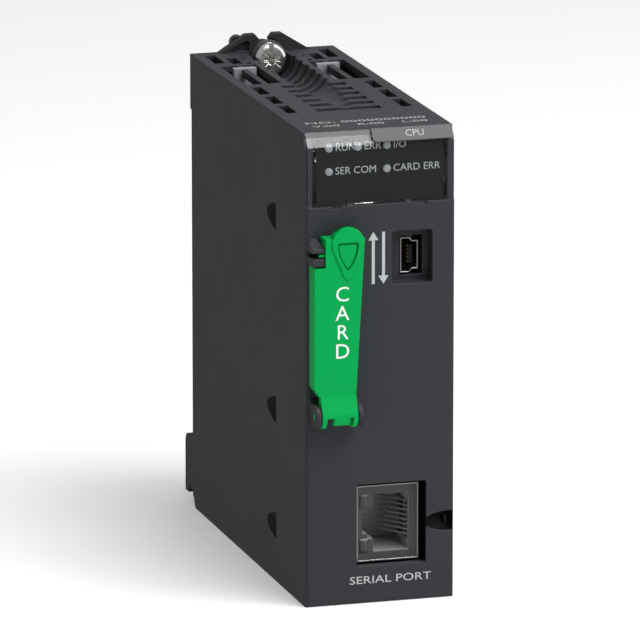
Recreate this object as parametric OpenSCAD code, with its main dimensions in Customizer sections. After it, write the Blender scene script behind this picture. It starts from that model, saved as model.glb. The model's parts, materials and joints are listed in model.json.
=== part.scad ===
// A narrow rail-mounted controller module. X is its width, Y its depth and Z its height.
// Every shape below is written with the front panel at y = 0, and placed() moves it into the
// module's own frame, whose origin is at the bottom centre of the whole assembly.

/* [Housing] */
// Width of the housing
module_w = 32; // [30.5:0.5:40]
// Height of the housing, without the bracket
module_h = 100; // [97:1:125]
// Depth from the front panel to the end of the side walls
module_d = 87; // [85:1:110]
// Thickness of the side, top and bottom walls
wall = 1.5; // [1.3:0.1:1.9]
// Thickness of the front panel
panel_t = 1.8; // [1.4:0.1:2.2]
// Radius along the front edges
edge_r = 0.8; // [0.4:0.1:1.2]
// Gap between pieces that are assembled into one another
fit_gap = 0.15; // [0.1:0.01:0.2]

/* [Status window] */
// Height of the clear window, sloped top included
window_h = 15.4; // [14.5:0.1:18]
// Thickness of the clear moulding
window_t = 0.8; // [0.6:0.05:1]
// Depth of the sloped edge above the window
facet_d = 2.1; // [1.8:0.1:2.6]
// Height of the sloped edge above the window
facet_h = 2.6; // [2.2:0.1:3.1]
// Diameter of a status lamp
led_d = 1.6; // [1.2:0.1:2]

/* [Card door] */
// Height of the hinge axis
hinge_z = 41.5; // [40:0.5:45]
// Distance of the hinge axis in front of the panel
hinge_out = 3.4; // [3.1:0.1:4]
// Radius of the door's rolled hinge barrel
barrel_r = 2.5; // [2.2:0.1:2.7]
// Diameter of the hinge pins
hinge_pin_d = 1.5; // [1.2:0.1:1.9]
// Radial play of the hinge pins
pin_play = 0.05; // [0.02:0.01:0.09]
// How far the door's face stands in front of the panel
door_out = 4.2; // [3.8:0.1:4.8]
// Wall thickness of the door
door_t = 1.2; // [0.9:0.1:1.4]
// Height of the door above its hinge axis, without the thumb pad
door_h = 37.3; // [36:0.1:39]
// Width of the door at its top
door_w = 10.75; // [10.4:0.05:11.2]

/* [Memory card] */
// Thickness of the card
card_t = 2.1; // [1.4:0.1:2.5]
// Width of the card, upright in its slot
card_w = 24; // [20:0.5:26]
// Length of the card
card_l = 32; // [28:0.5:38]
// Travel of the card past its rest when it is pressed
card_push = 1; // [0.6:0.1:1.4]

/* [Network jack] */
// Size of the metal can across the panel
jack_w = 13.4; // [13:0.1:14.2]
// Height of the metal can
jack_h = 16.3; // [15.8:0.1:17.5]
// Depth of the metal can
jack_d = 18; // [15:0.5:21]
// Height of the can's lower edge above the bottom
jack_z = 8.3; // [6.5:0.1:12]

/* [Service port] */
// Width of the port's recess
port_recess_w = 8.8; // [8:0.1:10]
// Height of the port's recess
port_recess_h = 11.2; // [10.4:0.1:13]
// Depth of the port's recess
port_recess_d = 3.2; // [2.6:0.1:4]
// Height of the recess's lower edge above the bottom
port_recess_z = 67.5; // [64:0.5:69]

/* [Fixing screw] */
// Diameter of the screw's shank
screw_d = 4; // [3.4:0.1:4.4]
// Diameter of the screw's head
head_d = 7.2; // [6.4:0.1:7.6]
// Height of the screw's head
head_h = 2.6; // [2.2:0.1:2.8]
// Radial play of the screw in its bore
screw_play = 0.05; // [0.02:0.01:0.09]
// Thread pitch, the feed for each turn
screw_pitch = 0.7; // [0.5:0.05:0.8]
// Turns from backed out to tight
screw_turns = 3.5; // [2:0.5:3.5]
// Tilt of the screw and of the driver's channel, down to the rear
screw_tilt = 5; // [4:0.5:6]
// Length of the screw
screw_len = 12.9; // [12:0.1:12.9]

/* [Rear] */
// Length of the lower hooks behind the housing
hook_len = 6; // [5:0.5:8]
// Thickness of the lower hooks
hook_t = 2.2; // [2:0.1:3]
// Height of the bracket above the housing
bracket_h = 3.8; // [3:0.1:5]
// Thickness of the rear plate
rear_t = 2; // [1.6:0.1:2.4]

/* [Hidden] */
$fn = 48;

// Where the housing's main planes lie
half_w = module_w / 2;
inner_x = half_w - wall;
inner_top = module_h - wall;
upper_d = module_d + 1;
step_z = module_h - 12;
front_y = -hinge_out - barrel_r;
rear_y = module_d + hook_len;
middle_y = (front_y + rear_y) / 2;

// Rear cover: its inner face, its rear face and the raised seat that rests on the rail
cover_y = module_d - 2.6;
cover_face_y = cover_y + rear_t;
rail_seat_half = 12;
rail_seat_rise = 0.4;
rail_seat_z0 = step_z - 5.8;
rail_seat_z1 = step_z - 1.2;

// Status window
window_z = module_h - window_h;
facet_z = module_h - facet_h;
window_half = half_w - 0.35;
legend_y = window_t + 0.6;
window_rib_x = inner_x - fit_gap - 0.7;
legend_half = window_rib_x - 0.1;
legend_top = facet_z + 0.2;
lamp_y = window_t + 0.25;
lamp_x = [-10.8, -4.6, 1.6];
lamp_row_1 = facet_z - 0.7;
lamp_row_2 = lamp_row_1 - 4.9;
lamp_places = [
  [lamp_x[0], lamp_row_1], [lamp_x[1], lamp_row_1], [lamp_x[2], lamp_row_1],
  [lamp_x[0], lamp_row_2], [lamp_x[2], lamp_row_2]
];
lamp_board_y = legend_y + 6;

// Boards stand upright, one for each side, and carry the ports and the card socket
board_t = 1.6;
main_board_x = half_w - 7;
side_board_x = -half_w + 8.4;
board_y0 = 6;
board_y1 = module_d - 8;
board_z0 = 4;
main_board_z1 = module_h - 18;
side_board_z1 = window_z - 0.2;

// Card door, measured from the left side of the housing
door_left = -half_w + 0.6;
door_neck_l = -half_w + 1.9;
door_notch_x = -half_w + 3;
door_right = door_left + door_w;
door_taper = 0.055;
door_bottom = hinge_z + 4;
door_top = hinge_z + door_h;
door_shoulder = door_top - 5.9;
door_neck_r = door_right - door_taper * (door_top - door_bottom);
door_rest_gap = 0.3;
pad_r = 3.45;
pad_rise = 0.3;
pad_x = door_right - 3.6;
pad_z = door_top - 1.05;
ear_t = 1;
ear_gap = 0.2;
ear_r = barrel_r - 0.1;
hinge_arm_t = 1;

// Memory card, upright on the left of the side board
card_play = 0.2;
card_x = side_board_x - 3;
card_z = hinge_z + 20.6;
card_y0 = -1.6;
card_y1 = card_y0 + card_l;
socket_y0 = panel_t + 3.2;
socket_y1 = card_y1 + card_push + 4.2;
socket_skin = 1;

// Network jack, whose right side lies on the main board
jack_x1 = main_board_x;
jack_x0 = jack_x1 - jack_w;
jack_y = 2.5;
jack_mid_z = jack_z + jack_h / 2;
jack_cavity_w = 7.8;
jack_cavity_h = 12.2;
jack_cavity_x = jack_x0 + 3.65;
jack_cavity_d = 12;

// Service port, on the main board too
usb_w = 3.9;
usb_h = 7.5;
usb_x1 = main_board_x;
usb_x0 = usb_x1 - usb_w;
usb_mid_z = port_recess_z + port_recess_h / 2 - 0.25;
usb_y0 = port_recess_d - 0.1;
usb_y1 = usb_y0 + 9;
recess_x1 = usb_x1 + 2.15;
recess_x0 = recess_x1 - port_recess_w;

// Driver's channel and fixing screw
channel_r = head_d / 2 + 0.7;
groove_r = channel_r + 0.5;
trough_r = groove_r + 0.9;
screw_y = module_d - 7;
screw_z = module_h - 0.7;
washer_t = 0.8;
washer_r = head_d / 2 + 0.4;
screw_feed = screw_turns * screw_pitch;
seat_at = head_h + washer_t + screw_feed + 0.1;
seat_end = seat_at + rear_t + 0.4;
clip_at = seat_end + 0.1;
clip_t = 0.6;
clip_groove_r = screw_d / 2 - 0.4;
channel_run = (channel_r + 0.7) / tan(screw_tilt);
channel_start = screw_y - channel_run;

// Top slots and vents
slot_pitch = 5;
slot_len = 3;
slot_y0 = 22;
slot_count = 6;
slot_half = 7;
slot_depth = 0.9;
big_vent_y = 52.6;
big_vent_len = 20.4;
vent_rows = [22, 32, 42];

// Tabs of the inner frame that stand in the large vents
tab_x0 = 6.7;
tab_x1 = 11.7;
tab_y = big_vent_y + 16;
tab_t = 1.4;

// Snap pockets in the side walls
snap_y = 22;
snap_len = 6.5;
snap_depth = 0.9;
snap_z = [12, 37, module_h - 21.7];

// Rear connector, between the boards
plug_z = 24;
plug_h = 26;
plug_w = 9;

module placed() {
  translate([0, -middle_y, 0]) children();
}

// A box given by its corners
module block(x0, x1, y0, y1, z0, z1) {
  translate([x0, y0, z0]) cube([x1 - x0, y1 - y0, z1 - z0]);
}

// A 2D rectangle given by its corners, with its corners rounded
module round_rect(x0, x1, y0, y1, r) {
  translate([x0 + r, y0]) square([x1 - x0 - 2 * r, y1 - y0]);
  translate([x0, y0 + r]) square([x1 - x0, y1 - y0 - 2 * r]);
  for (x = [x0 + r, x1 - r], y = [y0 + r, y1 - r]) translate([x, y]) circle(r);
}

// Stands a front view (x, z) up, from depth y0 to y1
module from_front(y0, y1) {
  translate([0, y1, 0]) rotate([90, 0, 0]) linear_extrude(y1 - y0) children();
}

// Stands a side view (y, z) up, from x0 to x1
module from_side(x0, x1) {
  translate([x0, 0, 0]) rotate([90, 0, 90]) linear_extrude(x1 - x0) children();
}

// Raises a plan view (x, y), from height z0 to z1
module from_top(z0, z1) {
  translate([0, 0, z0]) linear_extrude(z1 - z0) children();
}

// A cylinder along Y, from depth y0 to y1
module rod_y(x, z, r, y0, y1) {
  translate([x, y0, z]) rotate([-90, 0, 0]) cylinder(r = r, h = y1 - y0);
}

// A cylinder along X, from x0 to x1
module rod_x(x0, x1, y, z, r) {
  translate([x0, y, z]) rotate([0, 90, 0]) cylinder(r = r, h = x1 - x0);
}

// Local +Z runs along the fixing screw, from the front of its head to the rear
module on_screw() {
  translate([0, screw_y, screw_z]) rotate([-90 - screw_tilt, 0, 0]) children();
}

// ---------------------------------------------------------------- housing

module hook_outline() {
  top_r = 2.2;
  h = 15.4;
  y0 = module_d - 4;
  difference() {
    union() {
      translate([y0, 2.3]) square([rear_y - y0, h - 2.3 - top_r]);
      translate([y0, 2.3]) square([rear_y - y0 - top_r, h - 2.3]);
      translate([rear_y - top_r, h - top_r]) circle(top_r);
    }
    polygon([[module_d, 2], [rear_y - 2.6, 2], [rear_y - 3, 4.2], [module_d, 3.4]]);
  }
}

// Right-hand hook: as thick as the side wall beside the rear cover, and thicker behind it
module rail_hook() {
  from_side(inner_x, half_w) hook_outline();
  intersection() {
    from_side(half_w - hook_t, half_w) hook_outline();
    block(0, half_w, module_d - 0.5, rear_y + 1, 0, module_h);
  }
}

module shell_side_outline() {
  polygon([
    [edge_r, 0], [module_d - 2, 0], [module_d, 3.2], [module_d, step_z], [upper_d, step_z],
    [upper_d, module_h], [facet_d, module_h], [0, facet_z], [0, edge_r]
  ]);
  translate([edge_r, edge_r]) circle(edge_r);
}

module shell_body() {
  intersection() {
    linear_extrude(module_h) {
      translate([-half_w, edge_r]) square([module_w, upper_d - edge_r]);
      round_rect(-half_w, half_w, 0, 4 * edge_r, edge_r);
    }
    from_side(-half_w, half_w) shell_side_outline();
  }
}

// The opening that the clear window fills, a fit gap behind its inner face
module window_cut() {
  t = window_t + fit_gap;
  from_side(-half_w - 1, half_w + 1) polygon([
    [-1, window_z], [t, window_z], [t, facet_z - 0.4], [facet_d + fit_gap, module_h - 1.2],
    [facet_d + fit_gap, module_h + 1], [-1, module_h + 1]
  ]);
  block(-inner_x, inner_x, -1, panel_t + 1, window_z, inner_top);
}

// One bullet-shaped pocket for a snap tab, in the right wall
module snap_pocket(z) {
  r = 5;
  tilt = atan(snap_depth / snap_len);
  intersection() {
    translate([half_w + r - snap_depth, snap_y, z]) rotate([-90, 0, -tilt]) translate([0, 0, -2])
      cylinder(r = r, h = snap_len + 6);
    block(half_w - 3, half_w + 1, snap_y, snap_y + snap_len + 4, z - 4, z + 4);
  }
  block(inner_x - 1, half_w, snap_y, snap_y + 0.9, z - 2.4, z + 2.4);
}

module vents() {
  for (s = [-1, 1]) {
    for (y = vent_rows) vent(s, 11.3, 13.5, y, y + 8);
    vent(s, 10.1, 13.7, big_vent_y, big_vent_y + big_vent_len);
    vent(s, 5.9, 8.8, big_vent_y, big_vent_y + big_vent_len);
    vent(s, 8, 10.3, module_d - 12.4, module_d - 5.8);
    vent(s, 11.5, 13.8, module_d - 11, module_d - 1.8);
    vent(s, 6.3, 7.2, module_d - 13.3, module_d - 11.3);
    vent(s, 6.3, 7.2, module_d - 8, module_d - 6.5);
    vent(s, tab_x0 - 0.4, tab_x1 + 0.4, tab_y - 0.4, tab_y + tab_t + 0.4);
  }
}

module vent(s, x0, x1, y0, y1) {
  mid = s * (x0 + x1) / 2;
  w = (x1 - x0) / 2;
  translate([0, 0, inner_top - 2]) linear_extrude(wall + 4)
    round_rect(mid - w, mid + w, y0, y1, 0.3);
}

// The driver's channel: a tilted round groove with deeper rings, so fins stand between them
module channel_cut() {
  on_screw() translate([0, 0, -channel_run]) cylinder(r = channel_r, h = channel_run + 30);
  last = floor((screw_y - big_vent_y) / slot_pitch);
  intersection() {
    on_screw() translate([0, 0, -channel_run]) cylinder(r = groove_r, h = channel_run + 30);
    for (i = [0 : last]) {
      y = big_vent_y - 0.6 + i * slot_pitch;
      block(-half_w, half_w, y, y + slot_len, 0, module_h + 9);
    }
  }
  for (i = [0 : slot_count - 1]) {
    y = slot_y0 + i * slot_pitch;
    block(-slot_half, slot_half, y, y + slot_len, module_h - slot_depth, module_h + 1);
  }
}

module channel_trough() {
  intersection() {
    on_screw() translate([0, 0, -channel_run]) cylinder(r = trough_r, h = channel_run + 30);
    block(-half_w, half_w, slot_y0, module_d - 1.2, module_h - 12, module_h);
  }
}

// Rounded bearing lug for the door's hinge, with its underside square to the panel
module hinge_ear(x0) {
  difference() {
    from_side(x0, x0 + ear_t) {
      translate([-hinge_out, hinge_z]) circle(ear_r);
      translate([-hinge_out, hinge_z - ear_r]) square([hinge_out + 1, 2 * ear_r]);
      polygon([
        [-1.6, hinge_z], [1, hinge_z], [1, hinge_z + 3.5], [0, hinge_z + 3.3], [-1.6, hinge_z + ear_r]
      ]);
    }
    rod_x(x0 - 1, x0 + ear_t + 1, -hinge_out, hinge_z, hinge_pin_d / 2 + pin_play);
  }
}

// Two catches beside the door's notch, which hold the door's small nub between them
module door_catches() {
  x0 = -half_w + 0.3;
  x1 = door_notch_x - 0.25;
  block(x0, x1, -4, 1, door_shoulder + 0.3, door_shoulder + 1.9);
  difference() {
    from_side(x0 - 0.1, x1) polygon([
      [1, door_shoulder + 3.1], [-4, door_shoulder + 3.1], [-4, door_shoulder + 3.8],
      [0, door_shoulder + 5.3], [1, door_shoulder + 5.3]
    ]);
    for (s = [0, 1]) translate([s ? x1 + 0.9 : x0 - 1, 0, door_shoulder + 5.2])
      rotate([90, 45, 0]) cube([2.2, 2.2, 12], center = true);
  }
}

module port_recess_body() {
  m = 1.2;
  block(recess_x0 - m, recess_x1 + m, 1, port_recess_d + m,
    port_recess_z - m, port_recess_z + port_recess_h + m);
}

module port_recess_cut() {
  from_front(-1, port_recess_d)
    round_rect(recess_x0, recess_x1, port_recess_z, port_recess_z + port_recess_h, 0.6);
  block(usb_x0 - fit_gap, usb_x1 + 0.9, 0, port_recess_d + 3,
    usb_mid_z - usb_h / 2 - 0.4, usb_mid_z + usb_h / 2 + 0.4);
}

module jack_cut() {
  from_front(-1, panel_t + 1)
    round_rect(jack_x0 - 0.7, jack_x1 + 0.9, jack_z - 0.3, jack_z + jack_h + 0.9, 0.3);
}

// Bullet-shaped dent at the front panel's right edge
module pry_dent() {
  r = 2.1;
  depth = 2.4;
  run = 5.8;
  translate([half_w - 0.3, depth - r, 16.6]) rotate([0, -90, atan(depth / run)])
    cylinder(r = r, h = run + 4);
}

// Small tabs on the panel's top edge, grown by a gap on all sides
module panel_tabs(gap) {
  for (x = [-6.5, 5.9])
    block(x - 0.6 - gap, x + 0.6 + gap, 0.3 - gap, 1.2, window_z - 0.3, window_z + 0.5 + gap);
}

module panel_notches() {
  for (x = [-9.6, 8.8]) block(x - 1.1, x + 1.1, -1, 0.7, window_z - 0.5, window_z + 1);
}

module housing() {
  color([0.25, 0.255, 0.27]) placed() difference() {
    union() {
      difference() {
        shell_body();
        block(-inner_x, inner_x, panel_t, upper_d + 1, wall, inner_top);
        window_cut();
        block(-inner_x, inner_x, module_d - 1.2, upper_d + 1, step_z, module_h + 1);
      }
      channel_trough();
      port_recess_body();
      hinge_ear(door_neck_l - ear_t - ear_gap);
      hinge_ear(door_neck_r + ear_gap);
      door_catches();
      for (s = [0, 1]) mirror([s, 0, 0]) rail_hook();
      panel_tabs(0);
    }
    channel_cut();
    vents();
    port_recess_cut();
    jack_cut();
    pry_dent();
    panel_notches();
    block(card_x - card_t / 2 - 0.35, card_x + card_t / 2 + 0.35, -1, panel_t + 1,
      card_z - card_w / 2 - 0.3, card_z + card_w / 2 + 0.3);
    for (z = snap_z) {
      snap_pocket(z);
      mirror([1, 0, 0]) snap_pocket(z);
    }
  }
}

// ---------------------------------------------------------------- rear cover and frame

module wing_outline() {
  z1 = module_h + bracket_h;
  polygon([[-10.05, module_h], [-4, z1], [-2.05, z1], [-1.2, z1 - 1], [-1.2, module_h]]);
}

module rear_cover() {
  x = inner_x - fit_gap;
  y0 = cover_y;
  slot_z = plug_z + plug_h + 6;
  color([0.2, 0.2, 0.21]) placed() difference() {
    union() {
      from_side(-x, x) polygon([
        [y0, wall + fit_gap], [cover_face_y, wall + fit_gap], [cover_face_y, step_z],
        [upper_d, step_z], [upper_d, module_h], [upper_d - rear_t, module_h],
        [upper_d - rear_t, step_z + 1.8], [y0, step_z + 1.8]
      ]);
      block(-rail_seat_half, rail_seat_half, cover_face_y - 0.1, cover_face_y + rail_seat_rise,
        rail_seat_z0, rail_seat_z1);
      for (s = [0, 1]) mirror([s, 0, 0]) from_front(upper_d - rear_t, upper_d) wing_outline();
      from_front(upper_d - rear_t, upper_d) translate([-2, module_h - 1]) square([4, 2]);
      on_screw() translate([0, 0, seat_at]) cylinder(r = head_d / 2 + 0.1, h = seat_end - seat_at);
    }
    on_screw() cylinder(r = screw_d / 2 + screw_play, h = screw_len + 5);
    on_screw() cylinder(r = washer_r + 0.3, h = seat_at);
    on_screw() translate([0, 0, seat_end]) cylinder(r = washer_r + 0.2, h = 9);
    from_front(upper_d - rear_t - 1, upper_d - rear_t + 0.8) polygon([
      [-8, module_h + 0.2], [-4.3, module_h + 2.4], [-3.4, module_h + 2.4], [-3.4, module_h + 0.2]
    ]);
    block(-plug_w / 2 - fit_gap, plug_w / 2 + fit_gap, y0 - 1, cover_face_y + 1,
      plug_z - fit_gap, plug_z + plug_h + fit_gap);
    for (i = [0 : 7])
      block(-x + 4, x - 4, y0 - 1, cover_face_y + 1, slot_z + i * 3.2, slot_z + 1.6 + i * 3.2);
  }
}

// Light inner frame between the side walls, with snap tabs that reach into the side pockets
module board_frame() {
  x1 = inner_x - fit_gap;
  x0 = x1 - 1;
  y0 = snap_y + 0.15;
  y1 = cover_y;
  bar_z = module_h - 11;
  color([0.62, 0.63, 0.65]) placed() {
    for (s = [0, 1]) mirror([s, 0, 0]) {
      for (z = snap_z) {
        block(x0, x1, y0, y1, z - 3, z + 3);
        block(x0, half_w - snap_depth + 0.1, y0, y0 + 0.6, z - 2, z + 2);
      }
      block(x0, x1, y0, y0 + 5, snap_z[0] - 3, bar_z + 3);
      block(x0, x1, y1 - 5, y1, snap_z[0] - 3, bar_z + 3);
      block(tab_x0, tab_x1, tab_y, tab_y + tab_t, bar_z, module_h + 0.2);
      block(tab_x0 + 0.5, tab_x1 - 0.5, tab_y, tab_y + 3, bar_z, inner_top - 2.6);
      block(x0, x1, tab_y - 0.6, y1, bar_z, bar_z + 3);
    }
    block(-x1, x1, tab_y, tab_y + 4, bar_z, bar_z + 2);
    block(-x1, x1, y1 - 4, y1, wall + fit_gap, snap_z[0] - 3);
    for (s = [-1, 1]) block(s * x1, s * x0, y1 - 4, y1, wall + fit_gap, snap_z[0]);
    block(side_board_x - board_t, side_board_x, board_y1 + fit_gap, y1, snap_z[0] - 3, snap_z[0]);
    block(main_board_x, main_board_x + board_t, board_y1 + fit_gap, y1, wall + 1, snap_z[0] - 3);
  }
}

module locating_peg() {
  color([0.12, 0.12, 0.13]) placed() {
    rod_y(-5.3, module_h + bracket_h - 2.1, 1.6, upper_d, upper_d + 1.8);
    rod_y(-5.3, module_h + bracket_h - 2.1, 0.9, upper_d + 1.8, upper_d + 3.2);
  }
}

// ---------------------------------------------------------------- status window

// The window's side view, moved in by d from its outer face
module window_outline(d) {
  k = d * 0.46;
  polygon([
    [d, window_z + fit_gap], [d, facet_z - k], [facet_d, module_h - d * 1.59],
    [facet_d + 4, module_h - d * 1.59], [facet_d + 4, window_z + fit_gap]
  ]);
}

module status_window() {
  color([0.55, 0.6, 0.62, 0.45]) placed() {
    difference() {
      from_side(-window_half, window_half) window_outline(0);
      from_side(-window_half - 1, window_half + 1) window_outline(window_t);
      block(-half_w, half_w, facet_d, facet_d + 9, 0, module_h + 1);
      panel_tabs(fit_gap);
    }
    for (s = [0, 1]) mirror([s, 0, 0]) difference() {
      block(window_rib_x, window_rib_x + 0.7, window_t, window_t + 5, window_z + 1, facet_z - 1);
      block(window_rib_x - 1, window_rib_x + 2, window_t + 1.5, window_t + 4, window_z + 5, window_z + 9);
      for (z = [window_z + 1, facet_z - 1]) translate([window_rib_x, window_t + 5, z])
        rotate([45, 0, 0]) cube([3, 2.4, 2.4], center = true);
    }
  }
}

module legend_panel() {
  color([0.1, 0.1, 0.105]) placed() difference() {
    union() {
      block(-legend_half, legend_half, legend_y, legend_y + 1, window_z + 0.3, legend_top);
      for (s = [0, 1]) mirror([s, 0, 0])
        block(legend_half - 5, legend_half - 4, legend_y + 1, lamp_board_y - fit_gap,
          window_z + 1, window_z + 3);
    }
    for (p = lamp_places) rod_y(p[0], p[1], led_d / 2 + 0.05, legend_y - 1, legend_y + 2);
  }
}

module status_lamps() {
  color([0.8, 0.81, 0.82]) placed() for (p = lamp_places) {
    rod_y(p[0], p[1], led_d / 2, lamp_y + 0.2, legend_y + 1.2);
    translate([p[0], lamp_y, p[1]]) rotate([-90, 0, 0])
      cylinder(r1 = led_d / 2 - 0.2, r2 = led_d / 2, h = 0.2);
  }
}

// Clear pipes that lead the light from the lamp board to the lamps
module light_guide() {
  color([0.75, 0.8, 0.82, 0.6]) placed() {
    for (p = lamp_places) rod_y(p[0], p[1], 0.65, legend_y + 1.2, lamp_board_y - 0.75);
    for (z = [lamp_row_1, lamp_row_2])
      block(lamp_x[0] - 1, lamp_x[2] + 1, legend_y + 2.6, legend_y + 3.4, z - 0.5, z + 0.5);
    block(lamp_x[0] - 0.5, lamp_x[0] + 0.5, legend_y + 2.6, legend_y + 3.4, lamp_row_2, lamp_row_1);
    block(lamp_x[2] - 0.5, lamp_x[2] + 0.5, legend_y + 2.6, legend_y + 3.4, lamp_row_2, lamp_row_1);
  }
}

module lamp_board() {
  color([0.1, 0.3, 0.2]) placed() {
    block(-inner_x + 1.6, inner_x - 1.6, lamp_board_y, lamp_board_y + 1, window_z + 0.6, module_h - 2.4);
    for (p = lamp_places)
      block(p[0] - 0.7, p[0] + 0.7, lamp_board_y - 0.7, lamp_board_y, p[1] - 0.5, p[1] + 0.5);
    for (x = [side_board_x - board_t - 0.6, main_board_x + board_t / 2])
      block(x - 0.6, x + 0.6, lamp_board_y + 1, lamp_board_y + 5, window_z + 0.8, window_z + 4);
  }
}

// Plain plate that lies on the window's sloped edge
module label_plate() {
  slope = atan(facet_d / facet_h);
  length = sqrt(facet_d * facet_d + facet_h * facet_h);
  x0 = -1.7;
  x1 = window_half;
  color([0.48, 0.485, 0.495]) placed() translate([0, 0, facet_z]) rotate([90 - slope, 0, 0])
    translate([0, 0.1, 0]) linear_extrude(0.45) {
      translate([x0 + 1, 0]) square([x1 - x0 - 1, length - 0.15]);
      translate([x0, 1]) square([2, length - 1.15]);
      translate([x0 + 1, 1]) circle(1);
    }
}

// ---------------------------------------------------------------- card door

module door_outline() {
  polygon([
    [door_left, door_bottom + 2], [door_neck_l, door_bottom], [door_neck_r, door_bottom],
    [door_right, door_top], [door_notch_x, door_top], [door_notch_x, door_shoulder],
    [door_left, door_shoulder]
  ]);
}

module door_inner_outline() {
  t = 1;
  polygon([
    [door_left + t, door_bottom + 2.6], [door_neck_l + t, door_bottom + t],
    [door_neck_r - t, door_bottom + t], [door_right - t, door_top - t],
    [door_notch_x + t, door_top - t], [door_notch_x + t, door_shoulder - t],
    [door_left + t, door_shoulder - t]
  ]);
}

// Side view of the neck that curls from the door's face around the hinge barrel
module neck_outline() {
  translate([-hinge_out, hinge_z]) circle(barrel_r);
  polygon([
    [-door_out, door_bottom + 0.6], [-door_out - 0.1, door_bottom + 0.1],
    [-door_out - 0.75, door_bottom - 1.4],
    [-hinge_out - barrel_r * 0.93, hinge_z + barrel_r * 0.36], [-hinge_out, hinge_z],
    [-door_out + door_t + 0.3, hinge_z + barrel_r * 0.9], [-door_out + door_t, door_bottom + 0.6]
  ]);
}

// A round head of radius r1 that narrows to a round tip of radius r2, a length l below it
module drop_outline(r1, r2, l) {
  lean = asin((r1 - r2) / l);
  circle(r1);
  translate([0, -l]) circle(r2);
  polygon([
    [-r1 * cos(lean), -r1 * sin(lean)], [r1 * cos(lean), -r1 * sin(lean)],
    [r2 * cos(lean), -l - r2 * sin(lean)], [-r2 * cos(lean), -l - r2 * sin(lean)]
  ]);
}

// A downward arch with a flat top of half width w, a height h and bowed sides
module arch_outline(w, h) {
  bow_r = (w * w + h * h) / (2 * w);
  tip_r = w * 0.27;
  intersection() {
    translate([bow_r - w, 0]) circle(bow_r);
    translate([w - bow_r, 0]) circle(bow_r);
    union() {
      round_rect(-w, w, -h + 1.25 * tip_r, 0, 0.35);
      translate([0, -h + 1.25 * tip_r]) circle(tip_r);
    }
  }
}

// Recess for the thumb, deepest along its edge
module thumb_recess() {
  place = [pad_x, pad_z + 0.15];
  difference() {
    from_front(-door_out - 1, -door_out + 0.4) translate(place) arch_outline(2.2, 5.9);
    from_front(-door_out + 0.05, -door_out + 1) translate(place - [0, 0.35]) arch_outline(1.9, 5.1);
  }
}

module card_door() {
  arms = [door_neck_l, door_neck_r - hinge_arm_t];
  between_l = door_neck_l + hinge_arm_t;
  between_r = door_neck_r - hinge_arm_t;
  tongue = [door_neck_l + 2.5, door_neck_r - 1.7];
  nub_z = door_shoulder + 2.25;
  color([0, 0.6, 0.32]) placed() {
    difference() {
      union() {
        from_front(-door_out, -door_rest_gap) door_outline();
        from_front(-door_out, -door_out + 1.6) translate([pad_x, pad_z]) circle(pad_r);
        from_front(-door_out - pad_rise, -door_out + 0.2) translate([pad_x, pad_z])
          drop_outline(pad_r, 0.85, pad_r * 1.97);
      }
      difference() {
        from_front(-door_out + door_t, 1) door_inner_outline();
        block(pad_x - 5, pad_x + 5, -door_out, -door_out + 1.9, door_top - 9, door_top);
      }
      thumb_recess();
    }
    difference() {
      from_side(door_neck_l, door_neck_r) neck_outline();
      rod_x(between_l, between_r, -hinge_out, hinge_z, barrel_r - door_t);
      block(between_l, between_r, -hinge_out, 1, 0, hinge_z + barrel_r * 0.8);
      block(between_l, between_r, -9, 1, 0, hinge_z - 1.7);
      block(between_l, tongue[0], -9, 1, 0, hinge_z);
      block(tongue[1], between_r, -9, 1, 0, hinge_z);
    }
    for (x = arms) rod_x(x, x + hinge_arm_t, -hinge_out, hinge_z, barrel_r);
    rod_x(door_neck_l - ear_t - ear_gap + 0.1, door_neck_l + 0.5, -hinge_out, hinge_z, hinge_pin_d / 2);
    rod_x(door_neck_r - 0.5, door_neck_r + ear_t + ear_gap - 0.1, -hinge_out, hinge_z, hinge_pin_d / 2);
    block(door_notch_x - 1.3, door_notch_x + 0.5, -door_out + 0.3, -door_out + 1.8, nub_z, nub_z + 0.55);
  }
}

// ---------------------------------------------------------------- memory card

module memory_card() {
  color([0.12, 0.13, 0.15]) placed() difference() {
    block(card_x - card_t / 2, card_x + card_t / 2, card_y0, card_y1,
      card_z - card_w / 2, card_z + card_w / 2);
    translate([card_x - 3, card_y1, card_z + card_w / 2]) rotate([45, 0, 0])
      cube([6, 4, 4]);
    block(card_x + card_t / 2 - 0.3, card_x + 3, card_y0 + 5, card_y1 - 9, card_z - 9, card_z + 9);
    block(card_x - card_t / 2 - 1, card_x - card_t / 2 + 0.3, card_y0 + 1, card_y0 + 2.2,
      card_z - 6, card_z + 6);
  }
}

module card_socket() {
  px = card_t / 2 + card_play;
  pz = card_w / 2 + card_play;
  x0 = card_x - px - socket_skin;
  color([0.16, 0.16, 0.17]) placed() difference() {
    block(x0, side_board_x - board_t, socket_y0, socket_y1,
      card_z - pz - socket_skin, card_z + pz + socket_skin);
    block(card_x - px, card_x + px, socket_y0 - 1, card_y1 + card_push + 0.3, card_z - pz, card_z + pz);
    rod_y(card_x, card_z, 1.05, card_y1, socket_y1 - 1);
    block(x0 - 1, card_x, socket_y0 + 6, socket_y1 - 8, card_z - 8, card_z + 8);
  }
}

module card_contacts() {
  color([0.8, 0.66, 0.3]) placed() for (i = [-4 : 4]) {
    z = card_z + i * 2.2;
    block(side_board_x - board_t - 0.3, side_board_x - board_t, socket_y1, socket_y1 + 2.4, z - 0.3, z + 0.3);
  }
}

// Closed coil spring behind the card, drawn as its turns laid together
module card_spring() {
  y0 = card_y1 + card_push + 0.1;
  color([0.7, 0.71, 0.72]) placed() translate([card_x, y0, card_z]) rotate([-90, 0, 0])
    rotate_extrude() {
      translate([0.6, 0]) square([0.2, socket_y1 - 1 - y0]);
      for (i = [0 : 3]) translate([0.75, 0.25 + i * 0.65]) circle(0.22, $fn = 16);
    }
}

// ---------------------------------------------------------------- service port

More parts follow.
